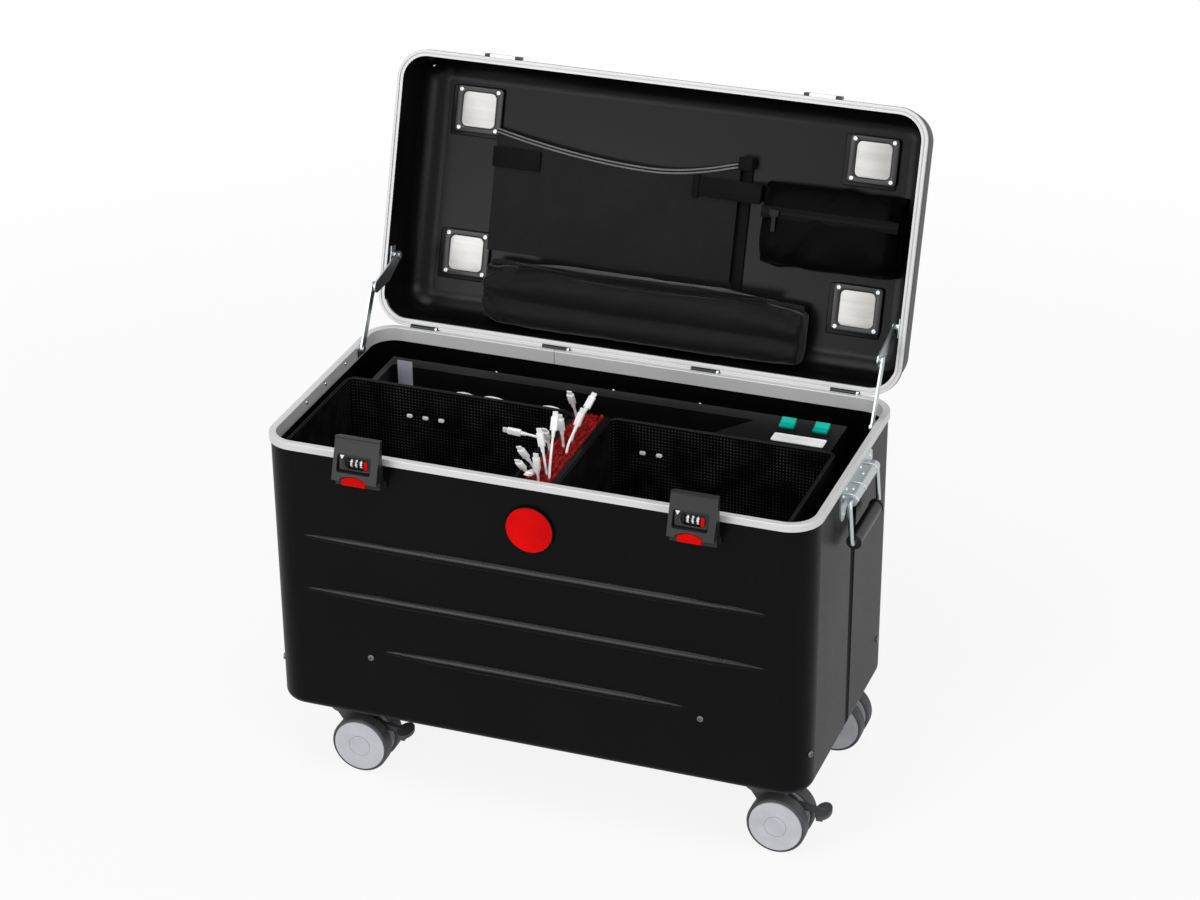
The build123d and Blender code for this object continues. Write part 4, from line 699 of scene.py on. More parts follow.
def weave_finish(name, colour, pitch, roughness, sheen, turn=0.0, depth=0.00012, gloss=0.08):
    """Woven cloth: threads over and under, with a faint cloudiness."""
    made = Finish(name, {"Sheen Weight": sheen, "Sheen Roughness": 0.35, "Specular IOR Level": gloss})
    place = made.spread(turn=(turn, 0, 0))
    scale = 2.0 * math.pi / pitch / 20.0
    warp = made.waves(scale, "X", place)
    weft = made.waves(scale, "Y", place)
    threads = warp * (1.0 - weft) + weft * (1.0 - warp)
    cloud = made.noise(30.0, 3.0)
    share = made.fit(threads, 0.1, 0.9) * 0.5 + made.fit(cloud, 0.3, 0.7) * 0.4
    made.show("Base Color", made.mix(share, shade(colour, 0.7), shade(colour, 1.35)))
    made.show("Roughness", roughness + threads * 0.08 - cloud * 0.06)
    made.relief(threads, depth, 0.5)
    return made.material


def leather_finish(name, colour):
    """Leathercloth with a pebbled grain and soft creases."""
    made = Finish(name, {"Specular IOR Level": 0.10})
    pebbles = made.cells(520.0, "SMOOTH_F1")
    creases = made.noise(46.0, 4.0)
    cloud = made.noise(9.0, 3.0)
    share = made.fit(cloud, 0.3, 0.7) * 0.6 + made.fit(creases, 0.5, 0.7) * 0.3
    made.show("Base Color", made.mix(share, shade(colour, 0.75), shade(colour, 1.35)))
    made.show("Roughness", 0.50 + pebbles * 0.12 - cloud * 0.05)
    made.relief(pebbles + creases * 0.4, 0.0003, 0.5)
    return made.material


def plate_finish(name, colour):
    """Brushed plate with lines along the case."""
    made = Finish(name, {"Metallic": 0.25})
    lines = made.noise(520.0, 4.0, made.spread((0.02, 1.0, 1.0)))
    bands = made.fit(made.noise(150.0, 2.0, made.spread((0.015, 1.0, 1.0))), 0.35, 0.7)
    made.show("Base Color", made.mix(bands * 0.7, colour, shade(colour, 0.80)))
    made.show("Roughness", 0.30 + lines * 0.16)
    made.relief(lines, 0.00012, 0.35)
    return made.material


def badge_finish(name, colour, edge):
    """Plain red disc inside a narrow ring of the shell's black, a painted shadow of the gap round the badge.
    """
    made = Finish(name, {"Specular IOR Level": 0.04})
    # Painted shadow: beyond the red radius the disc takes the shell's black, as the shade of the gap round
    # the badge
    outside = made.from_axis(0.0, BADGE_Z) > BADGE_RED
    made.show("Base Color", made.mix(outside, moulded_skin(made, colour, 0.34), edge))
    return made.material


def wheel_finish(name, axis, disc, tread):
    """Pale wheel disc inside a dark tyre, told apart by the distance from the axle."""
    made = Finish(name, {"Specular IOR Level": 0.45})
    tyre = made.from_axis(*axis) > TYRE_INNER
    dust = made.noise(40.0, 4.0)
    fine = made.noise(800.0, 2.0)
    pale = made.mix(made.fit(dust, 0.35, 0.7) * 0.6, disc, shade(disc, 0.78))
    dark = made.mix(made.fit(dust, 0.4, 0.7) * 0.6, tread, shade(tread, 1.7))
    made.show("Base Color", made.mix(tyre, pale, dark))
    made.show("Roughness", 0.42 + tyre * 0.18 + dust * 0.08)
    made.relief(fine, 0.0001, 0.35)
    return made.material


def finish_maker(colours):
    """Every finish under the name that the operators use."""
    return {
        "shell": shell_finish("shell_plastic", colours.shell),
        "lid": lid_finish("lid_plastic", colours.shell),
        "rim": rim_finish("rim_aluminium", colours.rim),
        # Painted shade: the lid's rim takes the rim's aluminium a little darker
        "lid_rim": lid_rim_finish("lid_rim_aluminium", shade(colours.rim, 0.94), colours.shell),
        "catch": catch_finish("keeper_plate", shade(colours.rim, 1.2)),
        "zinc": metal_finish("zinc_plate", colours.zinc, 0.34),
        "steel": metal_finish("bright_steel", shade(colours.zinc, 1.35), 0.22),
        "red": moulded_finish("red_plastic", colours.red, 0.34, 0.04),
        "badge": badge_finish("badge_plastic", colours.red, colours.shell),
        "comb": comb_finish("red_bristles", colours.red),
        "liner": liner_finish("liner_foam", colours.liner),
        "plastic": moulded_finish("black_plastic", colours.plastic, 0.30, 0.12),
        "frame": moulded_finish("pad_frame_plastic", shade(colours.plastic, 3.4), 0.30, 0.4),
        "hinge": metal_finish("hinge_steel", shade(colours.zinc, 0.07), 0.36),
        "screw": metal_finish("case_screw_steel", shade(colours.zinc, 0.32), 0.40),
        "cable": moulded_finish("cable_jacket", colours.cable, 0.42, 0.4, 500.0),
        "plug": moulded_finish("plug_plastic", colours.cable, 0.34, 0.45),
        "tip": moulded_finish("plug_tip", shade(colours.cable, 0.82), 0.24, 0.6),
        "webbing": weave_finish("pull_webbing", colours.webbing, 0.0016, 0.6, 0.3, math.pi / 2, 0.0003),
        "lock": moulded_finish("lock_plastic", colours.lock, 0.36, 0.25),
        "label": moulded_finish("label_plate", colours.label, 0.38),
        "teal": moulded_finish("teal_plastic", colours.teal, 0.30, 0.2),
        "rubber": moulded_finish("grip_rubber", colours.rubber, 0.36, 0.4, 400.0, 0.0002),
        "pedal": moulded_finish("pedal_plastic", shade(colours.tread, 1.1), 0.42),
        "pad": plate_finish("pad_plate", colours.pad),
        "leather": leather_finish("pocket_leather", colours.leather),
        # Bag and pouch are the same nylon: the bag's is painted lighter as painted light, the pouch's painted
        # darker as painted shade
        "nylon": weave_finish(
            "bag_nylon", shade(colours.fabric, 1.9), 0.0007, 0.62, 0.24, -LID_LEAN, gloss=0.1
        ),
        "pouch": weave_finish(
            "pouch_nylon", shade(colours.fabric, 0.5), 0.0007, 0.5, 0.03, -LID_LEAN, gloss=0.03
        ),
        "strap": weave_finish(
            "black_webbing", shade(colours.fabric, 0.7), 0.0015, 0.6, 0.06, -LID_LEAN, 0.0003
        ),
        # Painted highlight: the elastic piping's pale grey stands in for the highlights along it
        "piping": weave_finish("elastic_piping", colours.piping, 0.0009, 0.4, 0.2, -LID_LEAN),
        "mark": moulded_finish("printed_mark", colours.cable, 0.5),
    }


FINISHES = {}


def node_finishes():
    """The finish of each CAD node that stays in view."""
    chosen = {
        "shell": ["body_shell"],
        "lid": ["lid_shell"],
        "rim": ["body_rim"],
        "lid_rim": ["lid_rim"],
        "catch": ["lid_catches"],
        "red": ["lock_button_left", "lock_button_right"],
        "badge": ["badge_disc"],
        "comb": ["cable_comb"],
        "liner": ["left_tray", "right_tray"],
        "plastic": [
            "centre_divider", "charging_housing", "power_supply", "mains_inlet", "zip_slider", "lock_bases"
        ],
        "webbing": ["pull_tab"],
        "lock": ["lock_flap_left", "lock_flap_right"],
        "zinc": ["handle_brackets", "caster_plates", "stay_case_brackets", "stay_lid_brackets"],
        "hinge": ["hinge_case_leaves", "hinge_lid_leaves"],
        "teal": ["rocker_switch_1", "rocker_switch_2"],
        "rubber": [f"handle_grip_{side}" for side, _ in SIDES],
        "pedal": [f"caster_fork_{caster}" for caster in CASTERS],
    }
    chosen["pedal"] += [f"brake_pedal_{caster}" for caster in BRAKED]
    for side, _ in SIDES:
        chosen["zinc"] += [f"stay_lower_{side}", f"stay_upper_{side}", f"handle_bail_{side}"]
        chosen["lock"] += [f"number_dial_{side}_{number}" for number in (1, 2, 3)]
    return chosen


class CART_OT_stage(bpy.types.Operator):
    """Sets the floor, the light and the camera"""

    bl_idname = "cart.stage"
    bl_label = "Stage"

    # White share of the floor at the cart, and the distances between which it grows to all white
    FLOOR_WHITE = 0.88
    FLOOR_FADE = (0.7, 2.4)
    # Place and span of each lamp, and the place that they all point at
    LAMPS = (
        ("key", (-1.4, -3.6, 2.9), (1.9, 1.3)),
        ("fill", (3.0, -1.6, 1.8), (1.8, 1.8)),
        ("top", (0.0, -0.6, 3.6), (2.6, 1.8)),
        ("low", (-1.05, -2.4, 0.92), (1.2, 0.56)),
    )
    LIT_PLACE = (0.0, 0.0, 0.45)

    def execute(self, context):
        scene = context.scene
        stage = scene.cart_stage
        scene.view_settings.view_transform = "Standard"
        self.lay_floor()
        self.light_sky(scene, stage.sky)
        for name, place, span in self.LAMPS:
            self.hang_lamp(f"{name}_lamp", place, span, getattr(stage, name))
        self.set_camera(scene, stage)
        return {"FINISHED"}

    def lay_floor(self):
        """White floor that keeps a soft shadow, for the camera, for glossy surfaces and through glass."""
        floor = begin("studio_floor", bpy.ops.mesh.primitive_plane_add, size=60.0)
        made = Finish("studio_floor", {"Roughness": 0.9, "Base Color": (0.82, 0.82, 0.82, 1.0)})
        path = made.add("ShaderNodeLightPath").socket.node
        seen = sum(Flow(made, path.outputs[f"Is {ray} Ray"]) for ray in ("Camera", "Glossy", "Transmission"))
        x, y, _ = made.axes()
        share = made.fit((x * x + y * y).work("SQRT"), *self.FLOOR_FADE, self.FLOOR_WHITE, 1.0)
        glow = made.add("ShaderNodeEmission", sockets={"Color": (1.0, 1.0, 1.0, 1.0), "Strength": 1.0})
        lit = Flow(made, made.skin.outputs[0])
        white = made.add("ShaderNodeMixShader", sockets={0: seen * share, 1: lit, 2: glow})
        made.feed(made.tree.nodes["Material Output"].inputs["Surface"], white)
        floor.data.materials.append(made.material)

    def light_sky(self, scene, strength):
        """White sky where it is seen, and a weaker one as light."""
        world = bpy.data.worlds.new("studio_sky")
        scene.world = world
        world.use_nodes = True
        tree = world.node_tree
        path = tree.nodes.new("ShaderNodeLightPath")
        seen = path.outputs["Is Camera Ray"]
        for ray in ("Glossy", "Transmission"):
            either = tree.nodes.new("ShaderNodeMath")
            either.operation = "MAXIMUM"
            tree.links.new(seen, either.inputs[0])
            tree.links.new(path.outputs[f"Is {ray} Ray"], either.inputs[1])
            seen = either.outputs[0]
        level_of = tree.nodes.new("ShaderNodeMapRange")
        level_of.inputs["To Min"].default_value = strength
        level_of.inputs["To Max"].default_value = 1.0
        tree.links.new(seen, level_of.inputs["Value"])
        sky = tree.nodes["Background"]
        sky.inputs["Color"].default_value = (1.0, 1.0, 1.0, 1.0)
        tree.links.new(level_of.outputs[0], sky.inputs["Strength"])

    def hang_lamp(self, name, place, span, power):
        deselect()
        bpy.ops.object.light_add(type="AREA", location=place)
        lamp = bpy.context.object
        lamp.name = name
        lamp.data.shape = "RECTANGLE"
        lamp.data.size, lamp.data.size_y = span
        lamp.data.energy = power
        aim = Vector(self.LIT_PLACE) - Vector(place)
        lamp.rotation_euler = aim.to_track_quat("-Z", "Y").to_euler()

    def set_camera(self, scene, stage):
        """The camera at its place, turned by its yaw, its pitch and its roll."""
        deselect()
        bpy.ops.object.camera_add(location=stage.camera)
        camera = bpy.context.object
        camera.name = "studio_camera"
        camera.data.lens = stage.lens
        camera.data.sensor_width = 36.0
        camera.data.clip_end = 100.0
        across, lift, lean = stage.yaw, stage.pitch, stage.roll
        back = Vector((math.sin(across) * math.cos(lift), -math.cos(across) * math.cos(lift), math.sin(lift)))
        right = Vector((math.cos(across), math.sin(across), 0.0))
        up = back.cross(right)
        turned_right = right * math.cos(lean) + up * math.sin(lean)
        turned_up = up * math.cos(lean) - right * math.sin(lean)
        turn = Matrix((turned_right, turned_up, back)).transposed().to_4x4()
        camera.matrix_world = Matrix.Translation(stage.camera) @ turn
        scene.camera = camera


class CART_OT_cables(bpy.types.Operator):
    """Runs the charging cables and puts a plug on each free end"""

    bl_idname = "cart.cables"
    bl_label = "Charging cables"

    # Share of its shorter run that a bend takes, and the length under which a cable stands taut
    BEND_SHARE = 0.42
    TAUT_LENGTH = 0.04
    # Plug: the boot with its ribs, heights and depth of the thumb groove, and half the tongue's section
    BOOT_RADIUS, BOOT_RIBS, RIB_PITCH, RIB_CUT = 0.0019, 4, 0.0018, 0.0003
    GROOVE, GROOVE_DEPTH = (0.0110, 0.0118), 0.00035
    TONGUE = (0.0034, 0.0009)

    def execute(self, context):
        sizes = context.scene.cart_sizes
        plug = self.model_plug(sizes)
        for number, (x, y, lean_x, lean_y, rise, free) in enumerate(CABLE_ROUTES, 1):
            way = Vector((lean_x, lean_y, 1.0)).normalized()
            foot = Vector((x, y, COMB_TOP - SLOT_DEPTH))
            bend = Vector((x, y, COMB_TOP + rise))
            end = bend + way * free
            room = self.BEND_SHARE * min(SLOT_DEPTH + rise, free)
            route = [foot, bend - Vector((0.0, 0.0, room)), bend + way * room, end]
            cable = self.run_cable(f"charging_cable_{number}", route, sizes)
            self.finish_end(cable, plug, number, foot, end, way, self.length_of(cable))
        discard(plug)
        for number, (middle, y, rise) in enumerate(SLACK_LOOPS, 1):
            route = [Vector((middle + a * LOOP_HALF, y, TROUGH_FLOOR + b * rise)) for a, b in LOOP_OUTLINE]
            loop = self.run_cable(f"slack_loop_{number}", route, sizes)
            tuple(route[0])
            self.length_of(loop)
        return {"FINISHED"}

    def finish_end(self, cable, plug, number, foot, end, way, length):
        side = Vector((1.0, 0.0, -way.x / way.z)).normalized()
        turn = Matrix((side, way.cross(side), way)).transposed().to_4x4()
        fitted = settle(twin(plug), Matrix.Translation(end) @ turn)
        fitted.name = f"charging_plug_{number}"
        hand_over(fitted, "case", "white_plastic", "cable_plugs")

    def run_cable(self, name, route, sizes):
        cable = round_line(name, route, sizes.cable / 2, 8, 4)
        cable.data.materials.append(FINISHES["cable"])
        return hand_over(cable, "case", "white_cable", "charging_cables")

    def length_of(self, cable):
        """Length of a cable along its middle."""
        bare = twin(cable)
        bare.data.bevel_depth = 0.0
        bpy.context.view_layer.update()
        traced = bpy.data.meshes.new_from_object(bare)
        places = [point.co for point in traced.vertices]
        total = sum((places[a] - places[b]).length for a, b in (edge.vertices for edge in traced.edges))
        discard(bare)
        return total

    def model_plug(self, sizes):
        """Ribbed boot, flat body with a thumb groove, and a metal tongue, pointing up from the origin."""
        width, thickness = sizes.plug_width, sizes.plug_thickness
        low, high = sizes.plug_boot, sizes.plug_boot + sizes.plug_length
        body = block("plug_body", (-width / 2, -thickness / 2, low), (width / 2, thickness / 2, high))
        with edit(body):
            pick(body, "EDGE", upright)
            bpy.ops.mesh.bevel(offset=thickness * 0.42, segments=5, affect="EDGES")
            pick(body, "EDGE", lambda edge: level(edge, low) or level(edge, high))
            bpy.ops.mesh.bevel(offset=0.0007, segments=3, affect="EDGES")
            for height in self.GROOVE:
                bpy.ops.mesh.select_all(action="SELECT")
                bpy.ops.mesh.bisect(plane_co=(0, 0, low + height), plane_no=(0, 0, 1))
            groove = low + sum(self.GROOVE) / 2
            pick(body, "FACE", lambda face: abs(face.calc_center_median().z - groove) < 0.0003)
            sunk = {"value": -self.GROOVE_DEPTH}
            bpy.ops.mesh.extrude_region_shrink_fatten(TRANSFORM_OT_shrink_fatten=sunk)
        smooth(body)
        boot = begin(
            "plug_boot", bpy.ops.mesh.primitive_cylinder_add, vertices=20, radius=self.BOOT_RADIUS,
            depth=0.001, location=(0, 0, 0.0005),
        )
        profile = [(0.001, self.BOOT_RADIUS)]
        for rib in range(self.BOOT_RIBS):
            start, radius = 0.0012 + self.RIB_PITCH * rib, 0.00225 + 0.00014 * rib
            cut = radius - self.RIB_CUT
            profile += [(start, radius), (start + 0.0010, radius)]
            profile += [(start + 0.0012, cut), (start + 0.0016, cut)]
        smooth(draw_up(boot, profile))
        across, through = self.TONGUE
        tip = high + sizes.plug_tongue
        tongue = block("plug_tongue", (-across, -through, high - 0.0004), (across, through, tip))
        with edit(tongue):
            pick(tongue, "EDGE", upright)
            bpy.ops.mesh.bevel(offset=0.0008, segments=3, affect="EDGES")
            pick(tongue, "EDGE", lambda edge: level(edge, tip))
            bpy.ops.mesh.bevel(offset=0.0005, segments=2, affect="EDGES")
        smooth(tongue)
        for part, finish in ((body, "plug"), (boot, "cable"), (tongue, "tip")):
            part.data.materials.append(FINISHES[finish])
        return join("charging_plug", [body, boot, tongue])


class CART_OT_bag(bpy.types.Operator):
    """Makes the long soft cable bag at the foot of the lid"""

    bl_idname = "cart.bag"
    bl_label = "Cable bag"

    # Ends, foot, top and front, in the lid's own frame
    LEFT, RIGHT, FOOT, TOP, FRONT = -0.226, 0.205, 0.015, 0.090, -0.030
    # How far each row of the front is drawn in, from the foot up, and the row with the crease
    ROWS = (0.018, 0.005, 0.001, 0.004, 0.010, 0.006, 0.001, 0.0, 0.007, 0.020, 0.043)
    CREASE_ROW = 4
    PRESSURE, SWELL = 4.0, 0.007
    # Place that the pleats of the left end run out from
    PLEAT_X, PLEAT_Y = -0.240, 0.058
    # Hem: left end, width, top edge, height and depth in the lid
    HEM_LEFT, HEM_WIDTH, HEM_TOP, HEM_HEIGHT, HEM_DEPTH = -0.222, 0.424, 0.0935, 0.009, 0.0660

    def execute(self, context):
        left, right, foot, top = self.LEFT, self.RIGHT, self.FOOT, self.TOP
        bag = block("cable_bag_cover", (left, foot, -LID_CEILING), (right, top, self.FRONT))
        with edit(bag):
            draw_in(bag, foot, top, self.FRONT, self.ROWS)
            pick(bag, "VERT", lambda point: point.co.z < -0.080 and point.co.y < foot + 1e-3)
            bpy.ops.transform.translate(value=(0, 0.024, 0))
            pick(bag, "VERT", lambda point: point.co.x > right - 1e-3)
            bpy.ops.transform.resize(value=(1, 0.86, 0.90), center_override=(right, foot, -LID_CEILING))
            pick(bag, "VERT", lambda point: point.co.x < left + 1e-3)
            bpy.ops.transform.resize(value=(1, 0.92, 0.72), center_override=(left, 0.055, -LID_CEILING))
        crease = foot + self.CREASE_ROW * (top - foot) / (len(self.ROWS) - 1)
        puff(
            bag, context.scene.cart_sizes.voxel, self.PRESSURE, self.SWELL,
            lambda place: place.z < -0.082 or (abs(place.y - crease) < 0.003 and place.z > -0.052),
            self.fold,
        )
        smooth(bag, 60)
        settle(bag, LID)
        dress(bag, FINISHES["nylon"], "lid", "bag_fabric", "cable_bag")
        self.sew_hem()
        return {"FINISHED"}

    @staticmethod
    def fold(place):
        """Long shallow folds, and pleats that run out from the left end."""
        long_fold = noise.noise(Vector((place.x * 9.0, place.y * 34.0, place.z * 26.0)))
        small = noise.noise(Vector((place.x * 42.0, place.y * 60.0, place.z * 60.0)))
        bag = CART_OT_bag
        near_end = max(0.0, 1.0 - (place.x - bag.LEFT) / 0.09)
        fan = math.atan2(place.y - bag.PLEAT_Y, place.x - bag.PLEAT_X)
        return 0.0018 * long_fold + 0.0007 * small + 0.0016 * near_end * math.sin(fan * 13.0)

    def sew_hem(self):
        """A folded hem along the bag's upper edge."""
        hem = begin("bag_hem", bpy.ops.mesh.primitive_grid_add, x_subdivisions=72, y_subdivisions=4, size=1)
        for point in hem.data.vertices:
            across, up = point.co.x + 0.5, point.co.y + 0.5
            x = self.HEM_LEFT + self.HEM_WIDTH * across
            wave = 0.0012 * math.sin(across * 17.0) + 0.0008 * math.sin(across * 41.0)
            top = self.HEM_TOP + wave - 0.011 * max(0.0, across - 0.55) ** 1.5
            depth = self.HEM_DEPTH - 0.0016 * math.sin(across * 23.0) - 0.0022 * math.sin(up * math.pi)
            point.co = (x, top - self.HEM_HEIGHT * (1.0 - up), -depth)
        modify(hem, "SOLIDIFY", thickness=0.0016, offset=0.0)
        modify(hem, "SUBSURF", levels=1, render_levels=1)
        smooth(hem, 60)
        settle(hem, LID)
        dress(hem, FINISHES["nylon"], "lid", "bag_fabric", "cable_bag")


class CART_OT_pouch(bpy.types.Operator):
    """Makes the zip pouch, its tape and its teeth"""

    bl_idname = "cart.pouch"
    bl_label = "Zip pouch"

    # Ends, foot, top and front, in the lid's own frame
    LEFT, RIGHT, FOOT, TOP, FRONT = 0.1305, 0.3155, 0.1375, 0.2405, -0.0515
    # How far each row of the front is drawn in, from the foot up
    ROWS = (0.016, 0.004, 0.0, 0.0, 0.001, 0.002, 0.003, 0.003, 0.006, 0.013, 0.024)
    PRESSURE, SWELL = 3.0, 0.005
    # Zip: its height, the tape's ends, half width and depths, and the teeth's start, depth, pitch and number
    ZIP = 0.203
    TAPE_X, TAPE_HALF, TAPE_Z = (0.1345, 0.3125), 0.0075, (-0.0556, -0.0538)
    TOOTH_X, TOOTH_Z, TOOTH_PITCH, TEETH = 0.1375, -0.0535, 0.0019, 92
    TOOTH = (0.0006, 0.0021, 0.0004)

    def execute(self, context):
        pouch = block(
            "zip_pouch_cover", (self.LEFT, self.FOOT, -LID_CEILING), (self.RIGHT, self.TOP, self.FRONT)
        )
        with edit(pouch):
            draw_in(pouch, self.FOOT, self.TOP, self.FRONT, self.ROWS)
            for edge, sign in ((self.LEFT, 1), (self.RIGHT, -1)):
                pick(pouch, "VERT", lambda point: abs(point.co.x - edge) < 1e-3 and point.co.z > -0.08)
                bpy.ops.transform.translate(value=(sign * 0.002, 0, -0.013))
        puff(
            pouch, context.scene.cart_sizes.voxel * 0.85, self.PRESSURE, self.SWELL,
            lambda place: place.z < -0.082 or abs(place.y - self.ZIP) < 0.003,
            self.fold,
        )
        smooth(pouch, 60)
        settle(pouch, LID)
        # The pouch takes the nylon painted darker, as painted shade
        dress(pouch, FINISHES["pouch"], "lid", "bag_fabric", "zip_pouch")
        self.sew_zip()
        return {"FINISHED"}

    @staticmethod
    def fold(place):
        """Two slanting creases and a soft unevenness, which the zip holds flat."""
        slant = place.x * 0.8 - place.y * 0.6
        crease = math.exp(-((slant - 0.047) / 0.006) ** 2) - 0.7 * math.exp(-((slant - 0.068) / 0.007) ** 2)
        soft = noise.noise(Vector((place.x * 22.0, place.y * 34.0, 0.4)))
        away = min(1.0, abs(place.y - CART_OT_pouch.ZIP) / 0.012)
        return away * (0.0022 * crease + 0.0016 * soft)

    def sew_zip(self):
        """Tape along the opening, with a row of coil teeth on it."""
        (left, right), (rear, front) = self.TAPE_X, self.TAPE_Z
        foot, top = self.ZIP - self.TAPE_HALF, self.ZIP + self.TAPE_HALF
        tape = block("zip_tape", (left, foot, rear), (right, top, front))
        with edit(tape):
            pick(tape, "EDGE", lambda edge: abs(edge.verts[0].co.x - edge.verts[1].co.x) > 0.1)
            bpy.ops.mesh.bevel(offset=0.0007, segments=3, affect="EDGES")
        smooth(tape)
        settle(tape, LID)
        dress(tape, FINISHES["strap"], "lid", "bag_fabric", "zip_pouch")
        tooth = block("zip_teeth", [-half for half in self.TOOTH], self.TOOTH)
        with edit(tooth):
            bpy.ops.mesh.bevel(offset=0.0003, segments=2, affect="EDGES")
        spots = [self.TOOTH_X + self.TOOTH_PITCH * number for number in range(self.TEETH)]
        places = [Matrix.Translation((x, self.ZIP, self.TOOTH_Z)) for x in spots]
        teeth = copies(tooth, places, "zip_teeth")
        settle(teeth, LID)
        dress(teeth, FINISHES["plastic"], "lid", "bag_fabric", "zip_pouch")


class CART_OT_pocket(bpy.types.Operator):
    """Makes the document pocket with its elastic edge, tabs and strap"""

    bl_idname = "cart.pocket"
    bl_label = "Document pocket"

    # Sides and foot, heights of the top edge and the place of its sag, and the panel's depth in the lid
    LEFT, RIGHT, FOOT = -0.2345, 0.0962, 0.1035
    LEFT_TOP, RIGHT_TOP, SAG_TOP, SAG_X = 0.2615, 0.2575, 0.2362, -0.020
    SAG_CURVE = 1.8
    FACE = 0.0728
    FLAT = (0.354, 0.176)
    # Tabs, strap and its fold: two corners and a turn
    TABS = (
        ("left_tab", (-0.2365, 0.2125, -0.0740), (-0.1710, 0.2385, -0.0695), 0.0),
        ("right_tab", (0.0375, 0.2090, -0.0745), (0.1275, 0.2340, -0.0695), -0.012),
        ("right_tab_loop", (0.0365, 0.2065, -0.0740), (0.0450, 0.2360, -0.0680), -0.012),
        ("pocket_strap", (0.0965, 0.0960, -LID_CEILING), (0.1105, 0.2660, -0.0815), 0.0),
        ("strap_fold", (0.0940, 0.2490, -0.0850), (0.1125, 0.2655, -0.0690), 0.0),
    )

    def top_at(self, x):
        """Height of the sagging top edge."""
        end, top = (self.LEFT, self.LEFT_TOP) if x < self.SAG_X else (self.RIGHT, self.RIGHT_TOP)
        share = (x - self.SAG_X) / (end - self.SAG_X)
        return self.SAG_TOP + (top - self.SAG_TOP) * share ** self.SAG_CURVE

    def depth_at(self, across, up):
        """The panel bows out in its middle and more towards its open top."""
        bow = math.sin(across * math.pi) ** 0.7
        return self.FACE + 0.0022 - 0.0034 * bow * (0.35 + 0.65 * up)

    def execute(self, context):
        sizes = context.scene.cart_sizes
        panel = begin(
            "pocket_panel", bpy.ops.mesh.primitive_grid_add, x_subdivisions=48, y_subdivisions=18, size=1
        )
        for point in panel.data.vertices:
            across, up = point.co.x + 0.5, point.co.y + 0.5
            x = self.LEFT + (self.RIGHT - self.LEFT) * across
            height = self.FOOT + (self.top_at(x) - self.FOOT) * up
            point.co = (x, height, -self.depth_at(across, up))
        with edit(panel):
            pick(panel, "EDGE", self.is_sewn)
            bpy.ops.mesh.extrude_region_move(
                TRANSFORM_OT_translate={"value": (0, 0, -(LID_CEILING - self.FACE - 0.0026))}
            )
        modify(panel, "SOLIDIFY", thickness=sizes.leather, offset=-1.0)
        smooth(panel, 50)
        settle(panel, LID)
        dress(panel, FINISHES["leather"], "lid", "pocket_leather", "document_pocket")
        trims = [self.pipe(sizes.piping, drop) for drop in (0.0004, 0.0046)]
        trims += self.sew_tabs()
        return {"FINISHED"}

    def is_sewn(self, edge):
        """Edges of the panel that are sewn down, which is all but its top."""
        if not edge.is_boundary:
            return False
        middle = (edge.verts[0].co + edge.verts[1].co) / 2
        return middle.y < self.top_at(middle.x) - 0.001 or abs(edge.verts[0].co.x - edge.verts[1].co.x) < 1e-5

    def pipe(self, radius, drop):
        """A round elastic along the top edge, a little below it by its drop."""
        places = []
        for number in range(25):
            across = number / 24
            x = self.LEFT + (self.RIGHT + 0.004 - self.LEFT) * across
            depth = self.depth_at(min(1.0, across), 1.0)
            places.append((x, self.top_at(min(x, self.RIGHT)) - drop, -depth + 0.0004))
        piping = strand(f"pocket_piping_{round(drop * 10000)}", places, radius)
        settle(piping, LID)
        return dress(piping, FINISHES["piping"], "lid", "pocket_leather", "document_pocket")

    def sew_tabs(self):
        """Two hook-and-loop tabs over the pocket's sides and the upright strap beside it."""
        made = []
        for name, low, high, turn in self.TABS:
            tab = block(name, low, high)
            with edit(tab):
                pick(tab, "EDGE", upright)
                bpy.ops.mesh.bevel(offset=0.0022, segments=3, affect="EDGES")
                pick(tab, "EDGE", lambda edge: level(edge, high[2]))
                bpy.ops.mesh.bevel(offset=0.0007, segments=2, affect="EDGES")
            smooth(tab)
            middle = Vector(((low[0] + high[0]) / 2, (low[1] + high[1]) / 2, 0.0))
            spin = Matrix.Translation(middle) @ Matrix.Rotation(turn, 4, "Z") @ Matrix.Translation(-middle)
            settle(tab, LID @ spin)
            made.append(dress(tab, FINISHES["strap"], "lid", "pocket_leather", "document_pocket"))
        return made


